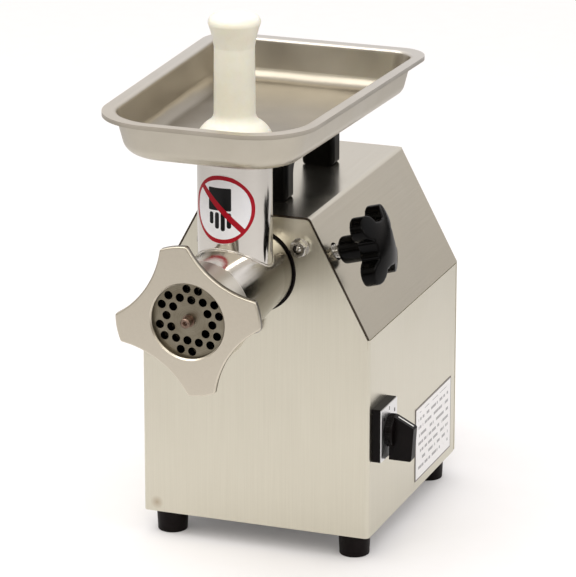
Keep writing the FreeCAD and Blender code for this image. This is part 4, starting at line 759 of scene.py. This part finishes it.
clamp_low, clamp_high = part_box("clamp_screw")
CLAMP_TILT = math.radians(15)
CLAMP_DIRECTION = Vector((math.cos(CLAMP_TILT), 0, math.sin(CLAMP_TILT)))
CLAMP_START = Vector((0, (clamp_low.y + clamp_high.y) / 2, AXIS_HEIGHT))
CLAMP_RADIUS = 0.006
CLAMP_PITCH = 0.00175
CLAMP_DEPTH = 0.0011
near_end = (clamp_low.x + CLAMP_RADIUS * math.sin(CLAMP_TILT)) / math.cos(CLAMP_TILT)
far_end = (clamp_high.x - CLAMP_RADIUS * math.sin(CLAMP_TILT)) / math.cos(CLAMP_TILT)
rod = threaded_rod("clamp_thread", CLAMP_RADIUS - 0.00005, CLAMP_PITCH, CLAMP_DEPTH,
    CLAMP_START + CLAMP_DIRECTION * near_end, CLAMP_DIRECTION, far_end - near_end, 28)
place_piece("clamp_thread", rod, BRIGHT_SCREW, "clamp", "clamp_screw")


def softened(node, name, voxel, rounds):
    """A copy of a CAD node's mesh with its edges rounded, as a moulding leaves the tool."""
    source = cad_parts[node]
    carrier = bpy.data.objects.new(name + "_carrier", source.data.copy())
    bpy.context.scene.collection.objects.link(carrier)
    carrier.matrix_world = source.matrix_world
    remesh = carrier.modifiers.new("even", "REMESH")
    remesh.mode = "VOXEL"
    remesh.voxel_size = voxel
    soft = carrier.modifiers.new("soft", "SMOOTH")
    soft.factor, soft.iterations = 0.5, rounds
    bpy.context.view_layer.update()
    evaluated = carrier.evaluated_get(bpy.context.evaluated_depsgraph_get())
    mesh = bpy.data.meshes.new_from_object(evaluated)
    mesh.transform(carrier.matrix_world)
    bpy.data.objects.remove(carrier)
    mesh.name = name
    mesh.shade_smooth()
    return mesh


KNOB_PLASTIC = moulding("knob_plastic", (0.001, 0.001, 0.001), (0.002, 0.001, 0.001), 0.16, 0.24,
    1500.0, 0.01, 0.09)
place_piece("clamp_star", softened("clamp_knob", "clamp_star", 0.0007, 14), KNOB_PLASTIC, "clamp",
    "clamp_knob")

# ---------------------------------------------------------------- Switch
# A rotary switch: black base, satin face plate with printed marks, and a bar knob on a ribbed
# round foot with a white line along its sloping end.

dress("switch_body", BLACK_PLASTIC)
dress("switch_knob", BLACK_PLASTIC)
dress("switch_spindle", BEARING_STEEL)
plate_low, plate_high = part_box("switch_plate")
SWITCH_CENTRE = (plate_low + plate_high) / 2
MARK_CIRCLE = 0.0188


def make_switch_face():
    """Satin plate with three printed marks above the knob."""
    material, tree, shader, place = start_material("switch_face", metallic=1.0)
    made = use_group(tree, METAL_GRAIN, {"Vector": place, "Lines": (900, 900, 40),
        "Light": (0.82, 0.82, 0.82, 1), "Dark": (0.74, 0.74, 0.74, 1), "Smoothest": 0.285,
        "Roughest": 0.36, "Blotch Size": 40.0})
    parts = add(tree, "SeparateXYZ", {0: place})
    ink = None
    for degrees in (-45, 0, 45):
        turn = math.radians(degrees)
        values = {"Across": parts.outputs["Y"], "Up": parts.outputs["Z"],
            "Middle Across": SWITCH_CENTRE.y + MARK_CIRCLE * math.sin(turn),
            "Middle Up": SWITCH_CENTRE.z + MARK_CIRCLE * math.cos(turn),
            "Half Width": 0.0009 if degrees == 0 else 0.0014, "Half Height": 0.0016, "Rounding": 0.0004}
        mask = use_group(tree, PRINTED_BLOCK, values)["Mask"]
        ink = mask if ink is None else maths(tree, "MAXIMUM", ink, mask)
    colour = mix(tree, ink, made["Colour"], (0.02, 0.02, 0.02, 1))
    feed(tree, shader, colour, made["Roughness"], made["Height"], 0.05, 0.0002)
    return material


dress("switch_plate", make_switch_face())


def make_rib_tree():
    """Short ribs set round a dial, standing along its axis."""
    tree = bpy.data.node_groups.new("dial_ribs", "GeometryNodeTree")
    tree.interface.new_socket("Geometry", in_out="INPUT", socket_type="NodeSocketGeometry")
    for label, kind in (("Ribs", "Int"), ("Dial Radius", "Float"), ("Rib Radius", "Float"),
            ("Rib Length", "Float"), ("Place", "Vector"), ("Finish", "Material")):
        tree.interface.new_socket(label, in_out="INPUT", socket_type="NodeSocket" + kind)
    tree.interface.new_socket("Geometry", in_out="OUTPUT", socket_type="NodeSocketGeometry")
    given = tree.nodes.new("NodeGroupInput").outputs
    circle = link_nodes(tree, "GeometryNodeMeshCircle", {"Vertices": given["Ribs"],
        "Radius": given["Dial Radius"]})
    rib = link_nodes(tree, "GeometryNodeMeshCylinder", {"Vertices": 8, "Radius": given["Rib Radius"],
        "Depth": given["Rib Length"]})
    row = link_nodes(tree, "GeometryNodeInstanceOnPoints", {"Points": circle.outputs[0],
        "Instance": rib.outputs[0]})
    placed = link_nodes(tree, "GeometryNodeTransform", {"Geometry": row.outputs[0],
        "Translation": given["Place"], "Rotation": (0, math.pi / 2, 0)})
    solid = link_nodes(tree, "GeometryNodeRealizeInstances", {"Geometry": placed.outputs[0]})
    finished = link_nodes(tree, "GeometryNodeSetMaterial", {"Geometry": solid.outputs[0],
        "Material": given["Finish"]})
    tree.links.new(finished.outputs[0], tree.nodes.new("NodeGroupOutput").inputs[0])
    return tree


DIAL_START = plate_high.x + 0.0004
rib_values = {"Ribs": 40, "Dial Radius": 0.0134, "Rib Radius": 0.0005, "Rib Length": 0.0044,
    "Place": (DIAL_START + 0.0024, SWITCH_CENTRE.y, SWITCH_CENTRE.z), "Finish": BLACK_PLASTIC}
rib_mesh = grown_mesh("dial_ribs", make_rib_tree(), rib_values, bpy.data.meshes.new("dial_start"))
place_piece("dial_ribs", rib_mesh, BLACK_PLASTIC, "switch")


def make_pointer():
    """A thin raised line along the knob's sloping end."""
    near = Vector((DIAL_START + 0.0075, 0, SWITCH_CENTRE.z + 0.01204))
    far = Vector((DIAL_START + 0.0207, 0, SWITCH_CENTRE.z + 0.00536))
    slope = (far - near).normalized()
    outward = Vector((-slope.z, 0, slope.x))
    half = Vector((0, 0.0008, 0))
    middle = Vector((0, SWITCH_CENTRE.y, 0))
    corners = []
    for lift in (-0.0002, 0.00025):
        for end in (near, far):
            corners += [end + middle + outward * lift - half, end + middle + outward * lift + half]
    faces = [(0, 1, 3, 2), (4, 6, 7, 5), (0, 4, 5, 1), (2, 3, 7, 6), (0, 2, 6, 4), (1, 5, 7, 3)]
    mesh = bpy.data.meshes.new("switch_pointer")
    mesh.from_pydata([tuple(c) for c in corners], [], faces)
    return mesh


WHITE_PAINT = moulding("white_paint", (0.85, 0.85, 0.84), (0.72, 0.72, 0.70), 0.35, 0.5)
place_piece("switch_pointer", make_pointer(), WHITE_PAINT, "switch")

# ---------------------------------------------------------------- Rating plate
# A printed label on the right side: white, with a fine dark edge and plain grey bars in rows.


def make_rating_print():
    material, tree, shader, place = start_material("rating_print", roughness=0.3)
    low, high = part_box("rating_plate")
    parts = add(tree, "SeparateXYZ", {0: place})
    across = remap(tree, parts.outputs["Y"], low.y, high.y)
    up = remap(tree, parts.outputs["Z"], low.z, high.z)
    rows = maths(tree, "MULTIPLY", up, 9.0)
    row = maths(tree, "FLOOR", rows)
    within = maths(tree, "FRACT", rows)
    height = maths(tree, "COMPARE", within, 0.36, 0.18)
    seed = add(tree, "CombineXYZ", {"X": maths(tree, "MULTIPLY", across, 16.0),
        "Y": maths(tree, "MULTIPLY", row, 7.3)})
    words = add(tree, "TexNoise", {"Vector": seed.outputs[0], "Scale": 1.0, "Detail": 1.0},
        noise_dimensions="2D")
    dash = maths(tree, "GREATER_THAN", words.outputs["Fac"], 0.46)

    def window(value, middle, half):
        return maths(tree, "COMPARE", value, middle, half)

    bars = maths(tree, "MULTIPLY", height, dash)
    field = maths(tree, "MULTIPLY", window(across, 0.5, 0.42), window(up, 0.52, 0.40))
    bars = maths(tree, "MULTIPLY", bars, field)
    middle = maths(tree, "MULTIPLY", window(across, 0.5, 0.487), window(up, 0.5, 0.482))
    edge = maths(tree, "SUBTRACT", 1.0, middle)
    paper = noise(tree, place, 300.0, 2.0)
    white = mix(tree, paper, (0.80, 0.79, 0.79, 1), (0.90, 0.89, 0.90, 1))
    inked = mix(tree, bars, white, (0.33, 0.32, 0.33, 1))
    edged = mix(tree, edge, inked, (0.16, 0.14, 0.13, 1))
    tree.links.new(edged, shader.inputs["Base Color"])
    bump(tree, shader, paper, 0.03, 0.0002)
    return material


dress("rating_plate", make_rating_print())

# ---------------------------------------------------------------- Studio: floor, light and camera
# A plain pale floor that fades into a white surround, with soft light from above and the left.

bpy.ops.mesh.primitive_circle_add(vertices=96, radius=2.2, fill_type="NGON", location=(0, 0, 0))
floor = bpy.context.object
floor.name = "studio_floor"
floor_material, floor_tree, floor_shader, floor_place = start_material("pale_floor", roughness=0.8)
from_middle = add(floor_tree, "VectorMath", {0: floor_place}, operation="LENGTH").outputs["Value"]
fade = remap(floor_tree, from_middle, 0.25, 1.25, 0.95, 0.60)
seen_directly = add(floor_tree, "LightPath").outputs["Is Camera Ray"]
fine = noise(floor_tree, floor_place, 40.0, 3.0)
pale = mix(floor_tree, fine, (0.885, 0.875, 0.885, 1), (0.905, 0.900, 0.915, 1))
mirrored = add(floor_tree, "VectorMath", {0: pale, "Scale": fade}, operation="SCALE")
shown = mix(floor_tree, seen_directly, mirrored.outputs[0], pale)
floor_tree.links.new(shown, floor_shader.inputs["Base Color"])
floor_shader.inputs["Specular IOR Level"].default_value = 0.1
glow = mix(floor_tree, seen_directly, (0.0, 0.0, 0.0, 1), pale)
floor_tree.links.new(glow, floor_shader.inputs["Emission Color"])
floor_shader.inputs["Emission Strength"].default_value = 0.07
floor.data.materials.append(floor_material)

world = bpy.data.worlds.new("studio")
bpy.context.scene.world = world
world.use_nodes = True
sky = world.node_tree
for old in list(sky.nodes):
    sky.nodes.remove(old)
direction = add(sky, "SeparateXYZ", {0: add(sky, "TexCoord").outputs["Generated"]})
height = remap(sky, direction.outputs["Z"], -1.0, 1.0)


def sky_ramp(stops):
    """Colours by height, from straight down to straight up."""
    ramp = add(sky, "ValToRGB", {"Fac": height})
    marks = ramp.color_ramp.elements
    marks[0].position, marks[0].color = stops[0][0], (*stops[0][1], 1)
    marks[1].position, marks[1].color = stops[-1][0], (*stops[-1][1], 1)
    for place_on, shade in stops[1:-1]:
        marks.new(place_on).color = (*shade, 1)
    return ramp.outputs["Color"]


behind = sky_ramp(((0.0, (0.02, 0.02, 0.02)), (0.48, (0.03, 0.03, 0.03)), (0.53, (0.64, 0.61, 0.58)),
    (0.65, (0.90, 0.88, 0.89)), (0.82, (1.00, 0.98, 0.97)), (1.0, (1.30, 1.28, 1.26))))
before = sky_ramp(((0.0, (0.30, 0.28, 0.26)), (0.49, (0.42, 0.39, 0.35)), (0.54, (0.12, 0.10, 0.08)),
    (0.60, (0.16, 0.13, 0.10)), (0.66, (0.90, 0.85, 0.76)), (0.82, (0.66, 0.61, 0.54)),
    (1.0, (1.30, 1.28, 1.26))))
side = remap(sky, direction.outputs["Y"], -0.55, 0.25)
room = mix(sky, side, before, behind)
seen = add(sky, "LightPath").outputs["Is Camera Ray"]
shade_all = mix(sky, seen, room, (1.0, 1.0, 1.0, 1))
surround = add(sky, "Background", {"Color": shade_all, "Strength": 1.0})
add(sky, "OutputWorld", {"Surface": surround.outputs[0]})


def soft_light(name, where, aim, size, power, colour):
    """A large area light that looks at a point."""
    lamp = bpy.data.lights.new(name, "AREA")
    lamp.shape = "RECTANGLE"
    lamp.size, lamp.size_y = size
    lamp.energy = power
    lamp.color = colour
    lit = bpy.data.objects.new(name, lamp)
    bpy.context.scene.collection.objects.link(lit)
    lit.location = where
    lit.rotation_euler = (Vector(aim) - Vector(where)).to_track_quat("-Z", "Y").to_euler()


soft_light("key_light", (-0.7, -0.95, 2.0), (0, 0, 0.2), (1.5, 1.5), 15, (1.0, 0.985, 0.96))
soft_light("front_light", (0.75, -1.9, 1.7), (0, 0, 0.25), (1.0, 0.8), 9, (1.0, 0.985, 0.97))
soft_light("side_light", (1.6, -0.4, 0.9), (0, -0.1, 0.25), (0.5, 0.5), 4, (1.0, 0.985, 0.97))

AZIMUTH, ELEVATION = math.radians(20.4615), math.radians(17.7475)
AIM = Vector((0.029555, -0.1155, 0.230556))
BACKWARD = Vector((math.sin(AZIMUTH) * math.cos(ELEVATION), -math.cos(AZIMUTH) * math.cos(ELEVATION),
    math.sin(ELEVATION)))
lens = bpy.data.cameras.new("camera")
lens.sensor_width = 36.0
lens.lens = 238.25
lens.clip_end = 50.0
camera = bpy.data.objects.new("camera", lens)
bpy.context.scene.collection.objects.link(camera)
camera.location = AIM + BACKWARD * 3.1108
camera.rotation_euler = (-BACKWARD).to_track_quat("-Z", "Y").to_euler()
bpy.context.scene.camera = camera
bpy.context.scene.view_settings.view_transform = "Standard"
